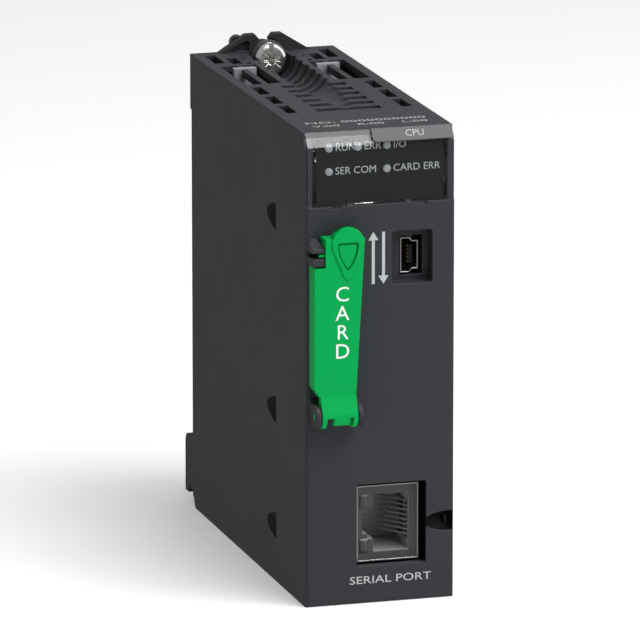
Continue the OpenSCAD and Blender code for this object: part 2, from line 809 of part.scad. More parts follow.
module usb_outline(d) {
  z0 = usb_mid_z - usb_h / 2;
  z1 = usb_mid_z + usb_h / 2;
  polygon([
    [usb_x0 + d, z0 + d], [usb_x0 + 1.9, z0 + d], [usb_x0 + 2.5, z0 + 0.7 + d],
    [usb_x1 - d, z0 + 0.7 + d], [usb_x1 - d, z1 - 0.7 - d], [usb_x0 + 2.5, z1 - 0.7 - d],
    [usb_x0 + 1.9, z1 - d], [usb_x0 + d, z1 - d]
  ]);
}

module usb_shell() {
  color([0.72, 0.73, 0.75]) placed() difference() {
    union() {
      from_front(usb_y0, usb_y1) usb_outline(0);
      for (z = [usb_mid_z - 3.8, usb_mid_z + 3.8])
        block(usb_x1 - 0.8, usb_x1, usb_y1 - 5, usb_y1 - 3, z - 0.9, z + 0.9);
    }
    from_front(usb_y0 - 1, usb_y1 - 0.4) usb_outline(0.3);
  }
}

module usb_tongue() {
  x = usb_x0 + 2.1;
  color([0.08, 0.08, 0.085]) placed() {
    block(x, x + 0.8, usb_y0 + 1, usb_y1 - 0.4, usb_mid_z - 2, usb_mid_z + 2);
    from_front(usb_y1 - 2.4, usb_y1 - 0.4) usb_outline(0.3);
  }
}

module usb_contacts() {
  x = usb_x0 + 2.1;
  color([0.83, 0.69, 0.35]) placed() for (i = [-2 : 2]) {
    z = usb_mid_z + i * 0.8;
    block(x - 0.2, x, usb_y0 + 1.3, usb_y1 - 2.4, z - 0.2, z + 0.2);
    block(usb_x1 - 0.35, usb_x1, usb_y1, usb_y1 + 1.6, z - 0.2, z + 0.2);
  }
}

// ---------------------------------------------------------------- network jack

// The plug's way in: the body, and the two steps for the plug's latch on its left
module jack_way() {
  x = jack_cavity_x;
  half_h = jack_cavity_h / 2;
  block(x, x + jack_cavity_w, jack_y - 1, jack_y + jack_cavity_d, jack_mid_z - half_h, jack_mid_z + half_h);
  block(x - 1.3, x + 1, jack_y - 1, jack_y + jack_cavity_d, jack_mid_z - 3.3, jack_mid_z + 3.3);
  block(x - 2.4, x + 1, jack_y - 1, jack_y + 4, jack_mid_z - 2.2, jack_mid_z + 2.2);
}

module jack_shield() {
  t = 0.3;
  z1 = jack_z + jack_h;
  color([0.62, 0.63, 0.65]) placed() {
    difference() {
      block(jack_x0, jack_x1, jack_y, jack_y + jack_d, jack_z, z1);
      block(jack_x0 + t, jack_x1 - t, jack_y + t, jack_y + jack_d - t, jack_z + t, z1 - t);
      jack_way();
    }
    for (z = [jack_z + 3.5, z1 - 3.5])
      block(jack_x0 - 0.6, jack_x0 + 0.1, jack_y + 2, jack_y + 7, z - 1.2, z + 1.2);
  }
}

module jack_body() {
  t = 0.35;
  cavity_x1 = jack_cavity_x + jack_cavity_w;
  color([0.1, 0.1, 0.105]) placed() difference() {
    block(jack_x0 + t, jack_x1 - t, jack_y + t, jack_y + jack_d - t, jack_z + t, jack_z + jack_h - t);
    jack_way();
    block(cavity_x1 - 1, jack_x1 - 0.9, jack_y + 1.6, jack_y + jack_cavity_d,
      jack_mid_z - 4.2, jack_mid_z + 4.2);
  }
}

module jack_contacts() {
  x1 = jack_cavity_x + jack_cavity_w + 0.9;
  color([0.83, 0.69, 0.35]) placed() for (i = [0 : 7]) {
    z = jack_mid_z + (i - 3.5) * 1.02;
    from_top(z - 0.2, z + 0.2) polygon([
      [x1, jack_y + 2], [x1, jack_y + 2.6], [x1 - 4.6, jack_y + 9], [x1 - 5, jack_y + 8.8]
    ]);
    block(x1 - 0.35, x1, jack_y + 2, jack_y + jack_cavity_d, z - 0.2, z + 0.2);
  }
}

// ---------------------------------------------------------------- boards

// Places of the board screws, as depth and height
screw_places = [[board_y1 - 4, board_z0 + 4], [board_y1 - 4, main_board_z1 - 5], [31, main_board_z1 - 5]];

module main_board() {
  color([0.08, 0.32, 0.2]) placed() difference() {
    block(main_board_x, main_board_x + board_t, board_y0, board_y1, board_z0, main_board_z1);
    for (p = screw_places) rod_x(main_board_x - 1, main_board_x + 3, p[0], p[1], 1.25);
    block(main_board_x - 1, main_board_x + 3, board_y0 - 1, board_y0 + 2, 30, 60);
    block(main_board_x - 1, main_board_x + 3, board_y0 - 1, board_y0 + 5, jack_z - 1, jack_z + jack_h + 1);
    block(main_board_x - 1, main_board_x + 3, board_y0 - 1, board_y0 + 3,
      usb_mid_z - usb_h / 2 - 3, usb_mid_z + usb_h / 2 + 3);
  }
}

module side_board() {
  color([0.08, 0.32, 0.2]) placed() difference() {
    block(side_board_x - board_t, side_board_x, board_y0, board_y1, board_z0, side_board_z1);
    for (p = screw_places) rod_x(side_board_x - 3, side_board_x + 1, p[0], p[1], 1.25);
  }
}

module board_link() {
  color([0.14, 0.14, 0.15]) placed() {
    block(side_board_x, main_board_x, 62, 68, 36, 58);
    block(side_board_x, side_board_x + 3, 61, 69, 35, 59);
    block(main_board_x - 3, main_board_x, 61, 69, 35, 59);
  }
}

module processor() {
  x = main_board_x;
  color([0.13, 0.13, 0.14]) placed() {
    block(x - 0.9, x, 34, 54, 42, 62);
    block(x - 1.5, x - 0.9, 37, 51, 45, 59);
  }
}

module heat_sink() {
  x = main_board_x - 1.5;
  color([0.7, 0.71, 0.73]) placed() {
    block(x - 1.6, x, 33, 55, 41, 63);
    for (i = [0 : 7]) block(x - 8.5, x - 1.6, 33 + i * 3, 34 + i * 3, 41, 63);
  }
}

// One chip on the side board, its lower front corner at depth y and height z
module chip(y, z) {
  block(side_board_x, side_board_x + 1.1, y, y + 10, z, z + 13);
}

module memory_chips() {
  color([0.14, 0.14, 0.15]) placed() {
    for (i = [0 : 3]) chip(26 + (i % 2) * 13, 44 + floor(i / 2) * 16);
    for (z = [28, 68]) block(main_board_x - 1.1, main_board_x, 18, 28, z, z + 10);
  }
}

module capacitors() {
  color([0.5, 0.52, 0.56]) placed() for (z = [68.5, 77], y = [40, 50, 60]) {
    rod_x(main_board_x - 8.4, main_board_x - 0.5, y, z, 3.6);
    rod_x(main_board_x - 0.5, main_board_x, y, z, 3.9);
  }
}

module transformer() {
  x = main_board_x;
  color([0.15, 0.15, 0.16]) placed() {
    block(x - 5.5, x, 24, 37, jack_z, jack_z + 15);
    for (i = [0 : 7], y = [23, 37])
      block(x - 0.4, x, y, y + 1, jack_z + 0.6 + i * 1.9, jack_z + 1.1 + i * 1.9);
  }
}

module small_parts() {
  color([0.55, 0.45, 0.34]) placed() {
    for (i = [0 : 5]) block(main_board_x - 0.7, main_board_x, 44 + i * 2.6, 45.4 + i * 2.6, 30, 33);
    for (i = [0 : 5]) block(side_board_x, side_board_x + 0.7, 14, 16.6, 30 + i * 3, 31.5 + i * 3);
    for (i = [0 : 3])
      block(main_board_x + board_t, main_board_x + board_t + 0.8, 20 + i * 9, 23 + i * 9, 20, 24);
    block(main_board_x - 2.6, main_board_x, 30, 34, 30, 38);
  }
}

module board_screws() {
  color([0.75, 0.76, 0.78]) placed() for (p = screw_places) {
    rod_x(main_board_x - 1.6, main_board_x, p[0], p[1], 2.2);
    rod_x(main_board_x - 0.5, main_board_x + board_t + 0.6, p[0], p[1], 1.2);
    rod_x(side_board_x, side_board_x + 1.6, p[0], p[1], 2.2);
    rod_x(side_board_x - board_t - 0.6, side_board_x + 0.5, p[0], p[1], 1.2);
    rod_x(side_board_x + 1.6, main_board_x - 1.6, p[0], p[1], 1.9);
  }
}

module backplane_plug() {
  y0 = board_y1 - 9;
  y1 = module_d + 2.6;
  z1 = plug_z + plug_h;
  color([0.13, 0.13, 0.14]) placed() difference() {
    union() {
      block(-plug_w / 2, plug_w / 2, board_y1 + 0.3, y1, plug_z, z1);
      block(-plug_w / 2, main_board_x, y0, board_y1 - 0.3, plug_z + 2, z1 - 2);
      block(-plug_w / 2, plug_w / 2, board_y1 - 1, board_y1 + 1, plug_z + 2, z1 - 2);
    }
    block(-plug_w / 2 + 1.2, plug_w / 2 - 1.2, y1 - 5, y1 + 1, plug_z + 1.2, z1 - 1.2);
  }
}

module backplane_pins() {
  y1 = module_d + 2.6;
  color([0.83, 0.69, 0.35]) placed() for (x = [-1.27, 1.27], i = [0 : 8]) {
    z = plug_z + plug_h / 2 + (i - 4) * 2.54;
    block(x - 0.25, x + 0.25, y1 - 5, y1 - 1, z - 0.25, z + 0.25);
  }
}

// Springy metal tongue that earths the module on its rail
module earth_spring() {
  y = cover_face_y;
  color([0.78, 0.79, 0.8]) placed() from_side(-3, 3) polygon([
    [y, 4], [y + 0.4, 4], [y + 0.4, 8], [y + 2.4, 11.5], [y + 0.4, 16],
    [y, 16], [y + 1.85, 11.5], [y, 8.2]
  ]);
}

// ---------------------------------------------------------------- fixing screw

module screw_washer() {
  color([0.2, 0.2, 0.21]) placed() on_screw() translate([0, 0, head_h + 0.03]) difference() {
    cylinder(r = washer_r, h = washer_t);
    translate([0, 0, -1]) cylinder(r = screw_d / 2 + screw_play, h = washer_t + 2);
  }
}

module screw_drive() {
  block(-head_d / 2 - 1, head_d / 2 + 1, -0.55, 0.55, -1, 1.2);
  for (a = [0, 90]) rotate([0, 0, a]) block(-2.1, 2.1, -0.6, 0.6, -1, 1.7);
}

// Shank, groove for the clip, threaded end at its full diameter, and a chamfered tip
module screw_stem() {
  r = screw_d / 2;
  groove_end = clip_at + clip_t;
  rotate_extrude() polygon([
    [0, head_h - 0.2], [r, head_h - 0.2], [r, clip_at], [clip_groove_r, clip_at],
    [clip_groove_r, groove_end], [r, groove_end], [r, screw_len - 0.5], [r - 0.5, screw_len], [0, screw_len]
  ]);
}

module screw() {
  color([0.8, 0.8, 0.8]) placed() on_screw() {
    difference() {
      union() {
        translate([0, 0, 0.5]) cylinder(d = head_d, h = head_h - 0.5);
        cylinder(d1 = head_d - 1, d2 = head_d, h = 0.5);
      }
      screw_drive();
    }
    screw_stem();
  }
}

module screw_clip() {
  color([0.3, 0.31, 0.33]) placed() on_screw() translate([0, 0, clip_at]) difference() {
    cylinder(r = head_d / 2 - 0.2, h = clip_t);
    translate([0, 0, -1]) cylinder(r = clip_groove_r, h = clip_t + 2);
    translate([-0.9, 0, -1]) cube([1.8, head_d, clip_t + 2]);
  }
}

housing();
rear_cover();
board_frame();
status_window();
legend_panel();
status_lamps();
light_guide();
lamp_board();
label_plate();
card_door();
memory_card();
card_socket();
card_contacts();
card_spring();
usb_shell();
usb_tongue();
usb_contacts();
jack_shield();
jack_body();
jack_contacts();
main_board();
side_board();
board_link();
processor();
heat_sink();
memory_chips();
capacitors();
transformer();
small_parts();
board_screws();
backplane_plug();
backplane_pins();
earth_spring();
locating_peg();
screw_washer();
screw();
screw_clip();
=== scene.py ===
"""Looks of a slim rail-mounted controller module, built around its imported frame."""
import json
import math

import bmesh
import bpy
from bpy.props import FloatProperty, FloatVectorProperty, PointerProperty, StringProperty
from mathutils import Matrix, Vector


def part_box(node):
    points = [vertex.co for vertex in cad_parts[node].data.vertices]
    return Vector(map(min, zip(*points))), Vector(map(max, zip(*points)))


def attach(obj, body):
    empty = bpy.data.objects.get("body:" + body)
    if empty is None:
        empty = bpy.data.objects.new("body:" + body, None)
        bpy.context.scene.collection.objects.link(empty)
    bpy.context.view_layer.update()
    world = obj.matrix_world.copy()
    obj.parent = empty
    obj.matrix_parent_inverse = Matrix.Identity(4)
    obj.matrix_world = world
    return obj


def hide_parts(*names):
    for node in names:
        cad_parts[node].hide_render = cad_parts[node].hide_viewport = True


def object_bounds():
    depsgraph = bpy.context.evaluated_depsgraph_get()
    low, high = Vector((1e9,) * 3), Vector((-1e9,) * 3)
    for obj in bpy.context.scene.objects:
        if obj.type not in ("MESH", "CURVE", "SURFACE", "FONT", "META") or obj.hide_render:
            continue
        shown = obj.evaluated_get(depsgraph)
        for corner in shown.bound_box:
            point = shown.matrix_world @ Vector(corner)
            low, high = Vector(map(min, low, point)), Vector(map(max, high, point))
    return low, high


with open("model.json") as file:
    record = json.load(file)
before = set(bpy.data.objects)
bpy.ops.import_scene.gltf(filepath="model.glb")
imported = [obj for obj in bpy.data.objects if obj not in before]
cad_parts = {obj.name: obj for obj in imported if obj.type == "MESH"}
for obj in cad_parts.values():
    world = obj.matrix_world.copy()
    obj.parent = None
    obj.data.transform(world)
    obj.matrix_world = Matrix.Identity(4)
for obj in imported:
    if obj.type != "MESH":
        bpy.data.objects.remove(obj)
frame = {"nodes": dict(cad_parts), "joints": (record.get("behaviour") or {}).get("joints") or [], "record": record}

bl_info = {
    "name": "Controller Module",
    "version": (1, 0, 0),
    "blender": (4, 5, 0),
    "location": "View3D > Sidebar > Module",
    "description": "Models and finishes a slim rail-mounted controller module",
    "category": "Add Mesh",
}

MM = 0.001
LIFT = 0.012  # how far the middle of a printed letter stands off its surface, in millimetres
CAD_BOX = [list(corner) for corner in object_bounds()]
PANEL_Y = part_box("status_window")[0].y
BODY_OF = {node: body for body, nodes in frame["record"]["behaviour"]["bodies"].items() for node in nodes}
SLOT_OF = {part["node"]: part["material_slot"] for part in frame["record"]["subparts"]}
JOINTS = {joint["name"]: joint for joint in frame["joints"]}

# The recesses in the housing, in millimetres: the side pockets start this far behind the front panel
# and reach this far back, and the dent at the front's right edge lies at this height.
POCKET_Y = 22.0
POCKET_LENGTH = 7.2
POCKET_HALF_HEIGHT = 3.1
POCKET_HEIGHTS = (12.0, 37.0)
TOP_POCKET_DOWN = 21.7
DENT_Z = 16.6
DENT_HALF_HEIGHT = 2.15
DENT_LENGTH = 6.4


def at(x, y, z):
    """A point in metres, from millimetres with y counted from the front panel."""
    return Vector((x * MM, PANEL_Y + y * MM, z * MM))


def span(node):
    """A CAD node's box in millimetres, with y counted from the front panel."""
    lo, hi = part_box(node)
    shift = Vector((0, PANEL_Y, 0))
    return (lo - shift) / MM, (hi - shift) / MM


# ------------------------------------------------------------------ sizes and colours

def millimetres(name, text, value, low, high):
    return FloatProperty(name=name, description=text, default=value * MM, min=low * MM, max=high * MM,
                         unit="LENGTH", subtype="DISTANCE", precision=5)


def colour(name, text, value):
    return FloatVectorProperty(name=name, description=text, default=value, size=3, min=0, max=1,
                               subtype="COLOR")


def factor(name, text, value, high=1.0):
    return FloatProperty(name=name, description=text, default=value, min=0, max=high, subtype="FACTOR")


class MODULE_PG_sizes(bpy.types.PropertyGroup):
    shell_edge: millimetres("Shell edge", "Rounding of the housing's edges", 0.14, 0.02, 0.4)
    door_edge: millimetres("Door edge", "Rounding of the card door's outer edges", 0.45, 0.05, 0.7)
    metal_edge: millimetres("Metal edge", "Rounding of sheet metal edges", 0.06, 0.01, 0.15)
    small_edge: millimetres("Small edge", "Rounding of small moulded parts", 0.1, 0.02, 0.3)
    # How deep into the pockets and the dent the painted shade reaches.
    painted_shade_depth: millimetres("Recess depth", "How deep the painted shade reaches into the pockets", 1.6, 0.2, 2.0)
    print_rise: millimetres("Print thickness", "Thickness of printed letters", 0.03, 0.01, 0.1)
    lamp_radius: millimetres("Lamp radius", "Half the width of a status lamp", 0.8, 0.5, 1.2)
    lamp_dome: millimetres("Lamp dome", "How far a lamp's lens bulges", 0.3, 0.05, 0.6)
    head_dome: millimetres("Screw dome", "Rounding of the screw head's rim", 0.95, 0.2, 1.4)
    thread_depth: millimetres("Thread depth", "Height of the screw's thread", 0.25, 0.1, 0.4)
    shank_radius: millimetres("Shank radius", "Half the width of the screw's shank", 2.0, 1.5, 2.4)
    head_radius: millimetres("Screw head radius", "Half the width of the screw's head", 3.5, 3.0, 3.8)
    letter_pitch: millimetres("Letter pitch", "Distance between the letters on the door", 4.0, 3.0, 6.0)
    thread_pitch: millimetres("Thread pitch", "Feed of the thread for one turn", 0.7, 0.4, 1.0)


class MODULE_PG_colours(bpy.types.PropertyGroup):
    housing: colour("Housing", "Moulded housing", (0.034, 0.036, 0.042))
    # Near-black colour painted into the pockets and dent as shade.
    recess_shade: colour("Recess", "Painted shade in the housing's recesses", (0.005, 0.005, 0.0055))
    rear: colour("Rear cover", "Moulded rear cover", (0.027, 0.028, 0.031))
    door: colour("Card door", "Moulded card door", (0.0, 0.345, 0.075))
    label: colour("Label plate", "Plate on the window's slope", (0.085, 0.086, 0.09))
    legend: colour("Legend panel", "Printed panel behind the window", (0.007, 0.007, 0.0075))
    print_ink: colour("Print", "Printed letters", (0.47, 0.48, 0.49))
    lamp: colour("Lamp", "Unlit lamp lens", (0.36, 0.365, 0.38))
    nickel: colour("Nickel", "Plated sheet metal", (0.7, 0.7, 0.69))
    gold: colour("Gold", "Plated contacts", (0.83, 0.6, 0.22))
    board: colour("Board", "Solder resist", (0.012, 0.09, 0.035))
    # Strength of the edge mask: edges rubbed glossy and, partly as a painted highlight, lightened.
    wear: factor("Edge wear", "How strongly the edges are rubbed glossy and lightened as a painted highlight", 0.35)
    dust: factor("Dust", "Fine dust on upward faces", 0.06)


class MODULE_PG_words(bpy.types.PropertyGroup):
    door: StringProperty(name="Door", description="Letters down the card door", default="CARD")
    upper_left: StringProperty(name="Upper left lamp", description="Legend of a lamp", default="RUN")
    upper_middle: StringProperty(name="Upper middle lamp", description="Legend of a lamp", default="ERR")
    upper_right: StringProperty(name="Upper right lamp", description="Legend of a lamp", default="I/O")
    lower_left: StringProperty(name="Lower left lamp", description="Legend of a lamp", default="SER COM")
    lower_right: StringProperty(name="Lower right lamp", description="Legend of a lamp", default="CARD ERR")
    plate: StringProperty(name="Plate", description="Word on the label plate", default="CPU")
    socket: StringProperty(name="Socket", description="Word under the network socket", default="SERIAL PORT")
    top_rear: StringProperty(name="Top, rear row", description="Numbers on the top", default="NO: 0000000000")
    top_front: StringProperty(name="Top, front row", description="Numbers on the top",
                              default="V:00    R:00    L:00")


def sizes():
    return bpy.context.scene.module_sizes


def colours():
    return bpy.context.scene.module_colours


def words():
    return bpy.context.scene.module_words


# ------------------------------------------------------------------ modelling tools

def deselect():
    if bpy.context.object and bpy.context.object.mode != "OBJECT":
        bpy.ops.object.mode_set(mode="OBJECT")
    bpy.ops.object.select_all(action="DESELECT")


def activate(*objects):
    deselect()
    for obj in objects:
        obj.select_set(True)
    bpy.context.view_layer.objects.active = objects[0]
    return objects[0]


def edit(obj, mode="FACE"):
    activate(obj)
    bpy.ops.object.mode_set(mode="EDIT")
    bpy.ops.mesh.select_mode(type=mode)
    bpy.ops.mesh.select_all(action="DESELECT")


def leave():
    bpy.ops.object.mode_set(mode="OBJECT")


def pick_faces(obj, test):
    """Selects the faces whose centre and normal pass the test, in edit mode."""
    mesh = bmesh.from_edit_mesh(obj.data)
    count = 0
    for face in mesh.faces:
        chosen = bool(test(face.calc_center_median(), face.normal))
        face.select_set(chosen)
        count += chosen
    mesh.select_flush_mode()
    bmesh.update_edit_mesh(obj.data)
    if not count:
        raise RuntimeError(f"no face of {obj.name} was found to shape")


def pick_edges(obj, test):
    """Selects the edges whose two ends and face angle pass the test, in edit mode."""
    mesh = bmesh.from_edit_mesh(obj.data)
    count = 0
    for edge in mesh.edges:
        angle = edge.calc_face_angle(0.0)
        chosen = bool(test(edge.verts[0].co, edge.verts[1].co, angle))
        edge.select_set(chosen)
        count += chosen
    bmesh.update_edit_mesh(obj.data)
    return count


def apply_place(obj):
    activate(obj)
    bpy.ops.object.transform_apply(location=True, rotation=True, scale=True)


def added(name):
    """The primitive just added, with its name and its place laid into its mesh."""
    obj = bpy.context.object
    obj.name = name
    apply_place(obj)
    return obj


def start_block(name, lo, hi):
    """A block between two corners in millimetres, ready to be shaped."""
    deselect()
    lo, hi = Vector(lo), Vector(hi)
    middle = (lo + hi) / 2
    bpy.ops.mesh.primitive_cube_add(size=1, location=at(*middle), scale=(hi - lo) * MM)
    return added(name)


def start_rod(name, centre, radius, length, axis, sides=48):
    """A rod whose middle is at centre, in millimetres, along axis."""
    deselect()
    turn = Vector((0, 0, 1)).rotation_difference(Vector(axis)).to_euler()
    bpy.ops.mesh.primitive_cylinder_add(vertices=sides, radius=radius * MM, depth=length * MM,
                                        location=at(*centre), rotation=turn)
    return added(name)


def run_modifier(obj, kind, **values):
    activate(obj)
    modifier = obj.modifiers.new(kind.title(), kind)
    for key, value in values.items():
        setattr(modifier, key, value)
    bpy.ops.object.modifier_apply(modifier=modifier.name)


def shade(obj, angle=40):
    activate(obj)
    bpy.ops.object.shade_smooth_by_angle(angle=math.radians(angle))
    run_modifier(obj, "WEIGHTED_NORMAL", keep_sharp=True, mode="FACE_AREA", weight=80)


def round_edges(obj, width, segments=2, angle=35, test=None):
    """Rounds the sharp edges, or, given a test, only those of them whose two ends pass it."""
    edit(obj, "EDGE")
    limit = math.radians(angle)
    if pick_edges(obj, lambda a, b, turn: turn > limit and (test is None or test(a, b))):
        bpy.ops.mesh.bevel(offset=width, segments=segments, profile=0.5, clamp_overlap=True,
                           affect="EDGES", miter_outer="ARC")
    leave()


def cut_away(obj, cutter):
    run_modifier(obj, "BOOLEAN", operation="DIFFERENCE", object=cutter, solver="EXACT")
    bpy.data.objects.remove(cutter)


def join(name, *objects):
    activate(*objects)
    bpy.ops.object.join()
    objects[0].name = name
    return objects[0]


def twin(obj, name, move):
    """A copy with its own mesh, moved by millimetres."""
    copy = obj.copy()
    copy.data = obj.data.copy()
    copy.name = name
    bpy.context.collection.objects.link(copy)
    copy.data.transform(Matrix.Translation(Vector(move) * MM))
    return copy


def put_on(obj, material, body, slot, *nodes):
    """Gives a finished piece its material, its body and the CAD nodes it stands for."""
    obj.data.materials.clear()
    obj.data.materials.append(material)
    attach(obj, body)
    if nodes:
        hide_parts(*nodes)
    return obj


def from_frame(node, name):
    """A merged copy of a CAD node's mesh, ready to be softened."""
    deselect()
    source = frame["nodes"][node]
    obj = bpy.data.objects.new(name, source.data.copy())
    bpy.context.collection.objects.link(obj)
    edit(obj, "VERT")
    bpy.ops.mesh.select_all(action="SELECT")
    bpy.ops.mesh.remove_doubles(threshold=0.002 * MM)
    bpy.ops.mesh.dissolve_limited(angle_limit=math.radians(0.3))
    leave()
    return obj


def softened(node, name, width, material, segments=2, angle=35, test=None):
    """Replaces a CAD node with a copy whose edges are rounded."""
    obj = from_frame(node, name)
    round_edges(obj, width, segments, angle, test)
    shade(obj)
    return put_on(obj, material, BODY_OF[node], SLOT_OF[node], node)


def lettering(name, text, size, spot, turn, material, body, slot, align="LEFT", width=None):
    """Printed letters as a thin mesh. size is the height of a capital and width the row's, in millimetres."""
    deselect()
    bpy.ops.object.text_add()
    obj = bpy.context.object
    obj.name = name
    obj.data.body = text
    obj.data.size = size * MM / 0.7
    obj.data.align_x = align
    obj.data.align_y = "CENTER"
    obj.data.extrude = sizes().print_rise / 2
    obj.data.resolution_u = 3
    bpy.ops.object.convert(target="MESH")
    obj = bpy.context.object
    if width:
        obj.scale.x = width * MM / obj.dimensions.x
        apply_place(obj)
    obj.matrix_world = Matrix.Translation(at(*spot)) @ turn.to_4x4()
    apply_place(obj)
    return put_on(obj, material, body, slot)


FACING_FRONT = Matrix.Rotation(math.radians(90), 3, "X")
FACING_UP = Matrix.Identity(3)


# ------------------------------------------------------------------ shared surface effects

def new_group(name, inputs, outputs):
    """A shader node group with named inputs (name, default) and outputs (name, kind)."""
    tree = bpy.data.node_groups.new(name, "ShaderNodeTree")
    for label, default in inputs:
        vector = isinstance(default, tuple)
        socket = tree.interface.new_socket(name=label, in_out="INPUT",
                                           socket_type="NodeSocketVector" if vector else "NodeSocketFloat")
        socket.default_value = default
    for label, kind in outputs:
        tree.interface.new_socket(name=label, in_out="OUTPUT", socket_type="NodeSocket" + kind)
    return tree, tree.nodes.new("NodeGroupInput"), tree.nodes.new("NodeGroupOutput")


def node(tree, kind, links=(), **values):
    """Adds a node, sets its values and links (input, source socket) pairs."""
    made = tree.nodes.new(kind)
    for key, value in values.items():
        setattr(made, key, value)
    for socket, source in links:
        if hasattr(source, "is_output"):
            tree.links.new(source, made.inputs[socket])
        else:
            made.inputs[socket].default_value = source
    return made


def maths(tree, operation, a, b=None, clamp=False):
    links = [(0, a)] + ([(1, b)] if b is not None else [])
    return node(tree, "ShaderNodeMath", links, operation=operation, use_clamp=clamp).outputs[0]


def ramp_between(tree, value, low, high):
    made = node(tree, "ShaderNodeMapRange", [("Value", value), ("From Min", low), ("From Max", high)],
                interpolation_type="SMOOTHSTEP")
    return made.outputs[0]


def place(tree):
    return node(tree, "ShaderNodeTexCoord").outputs["Object"]


def edge_highlight_and_wear_group():
    """Edges that handling has rounded and rubbed glossy, broken up by fine noise; the materials also lighten them
    as a painted highlight.
    """
    tree, given, out = new_group("Edge Wear", [("Radius", 0.0003), ("Amount", 0.4), ("Break Up", 900.0)],
                                 [("Mask", "Float"), ("Normal", "Vector")])
    soft = node(tree, "ShaderNodeBevel", [("Radius", given.outputs["Radius"])], samples=6)
    flat = node(tree, "ShaderNodeNewGeometry")
    turn = node(tree, "ShaderNodeVectorMath", [(0, soft.outputs[0]), (1, flat.outputs["Normal"])],
                operation="DOT_PRODUCT")
    bent = ramp_between(tree, maths(tree, "SUBTRACT", 1.0, turn.outputs["Value"]), 0.01, 0.22)
    noise = node(tree, "ShaderNodeTexNoise", [("Vector", place(tree)), ("Scale", given.outputs["Break Up"]),
                                              ("Detail", 4.0), ("Roughness", 0.6)])
    patchy = ramp_between(tree, noise.outputs[0], 0.32, 0.66)
    mask = maths(tree, "MULTIPLY", maths(tree, "MULTIPLY", bent, patchy), given.outputs["Amount"], True)
    tree.links.new(mask, out.inputs["Mask"])
    tree.links.new(soft.outputs[0], out.inputs["Normal"])
    return tree


def moulded_grain_group():
    """The fine eroded texture of a moulding tool: small pits over a soft orange peel."""
    tree, given, out = new_group("Moulded Grain", [("Scale", 3000.0), ("Pits", 0.5)],
                                 [("Height", "Float"), ("Value", "Float")])
    where = place(tree)
    fine = node(tree, "ShaderNodeTexNoise", [("Vector", where), ("Scale", given.outputs["Scale"]),
                                             ("Detail", 3.0), ("Roughness", 0.55)])
    cell_scale = maths(tree, "MULTIPLY", given.outputs["Scale"], 1.7)
    cells = node(tree, "ShaderNodeTexVoronoi", [("Vector", where), ("Scale", cell_scale)],
                 feature="SMOOTH_F1")
    peel_scale = maths(tree, "MULTIPLY", given.outputs["Scale"], 0.16)
    peel = node(tree, "ShaderNodeTexNoise", [("Vector", where), ("Scale", peel_scale), ("Detail", 1.0)])
    pits = maths(tree, "MULTIPLY", cells.outputs["Distance"], given.outputs["Pits"])
    both = maths(tree, "ADD", fine.outputs[0], pits)
    height = maths(tree, "ADD", both, maths(tree, "MULTIPLY", peel.outputs[0], 0.6))
    tree.links.new(height, out.inputs["Height"])
    tree.links.new(fine.outputs[0], out.inputs["Value"])
    return tree


def surface_drift_group():
    """Slow changes over a surface: flow of the melt, fingers and cleaning."""
    tree, given, out = new_group("Surface Drift", [("Scale", 45.0), ("Contrast", 1.0)],
                                 [("Value", "Float"), ("Smears", "Float")])
    where = place(tree)
    slow = node(tree, "ShaderNodeTexNoise", [("Vector", where), ("Scale", given.outputs["Scale"]),
                                             ("Detail", 5.0), ("Distortion", 0.8)])
    value = ramp_between(tree, slow.outputs[0], 0.3, 0.7)
    stretched = node(tree, "ShaderNodeMapping", [("Vector", where), ("Rotation", (0.3, 0.5, 0.2)),
                                                 ("Scale", (1.0, 1.0, 0.55))])
    smear_scale = maths(tree, "MULTIPLY", given.outputs["Scale"], 7.0)
    smear = node(tree, "ShaderNodeTexNoise", [("Vector", stretched.outputs[0]), ("Scale", smear_scale),
                                              ("Detail", 6.0), ("Roughness", 0.62)])
    smears = ramp_between(tree, smear.outputs[0], 0.48, 0.74)
    tree.links.new(maths(tree, "MULTIPLY", value, given.outputs["Contrast"]), out.inputs["Value"])
    tree.links.new(maths(tree, "MULTIPLY", smears, given.outputs["Contrast"]), out.inputs["Smears"])
    return tree


def dust_group():
    """Fine dust that settles on upward faces."""
    tree, given, out = new_group("Dust", [("Amount", 0.1), ("Scale", 1600.0)], [("Mask", "Float")])
    up = node(tree, "ShaderNodeSeparateXYZ", [(0, node(tree, "ShaderNodeNewGeometry").outputs["Normal"])])
    facing = ramp_between(tree, up.outputs["Z"], 0.35, 0.95)
    specks = node(tree, "ShaderNodeTexNoise", [("Vector", place(tree)), ("Scale", given.outputs["Scale"]),
                                               ("Detail", 6.0), ("Roughness", 0.75)])
    mask = maths(tree, "MULTIPLY", facing, ramp_between(tree, specks.outputs[0], 0.42, 0.7))
    tree.links.new(maths(tree, "MULTIPLY", mask, given.outputs["Amount"], True), out.inputs["Mask"])
    return tree


def drawn_metal_group():
    """Fine lines left by rolling or drawing, all one way, with a little scatter."""
    tree, given, out = new_group("Drawn Metal", [("Scale", 900.0), ("Stretch", (1.0, 0.04, 1.0))],
                                 [("Height", "Float"), ("Value", "Float")])
    where = node(tree, "ShaderNodeMapping", [("Vector", place(tree)), ("Scale", given.outputs["Stretch"])])
    lines = node(tree, "ShaderNodeTexNoise", [("Vector", where.outputs[0]), ("Scale", given.outputs["Scale"]),
                                              ("Detail", 5.0), ("Roughness", 0.7)])
    clouds = node(tree, "ShaderNodeTexNoise", [("Vector", place(tree)), ("Scale", 260.0), ("Detail", 3.0)])
    value = maths(tree, "ADD", maths(tree, "MULTIPLY", lines.outputs[0], 0.7),
                  maths(tree, "MULTIPLY", clouds.outputs[0], 0.3))
    tree.links.new(lines.outputs[0], out.inputs["Height"])
    tree.links.new(value, out.inputs["Value"])
    return tree


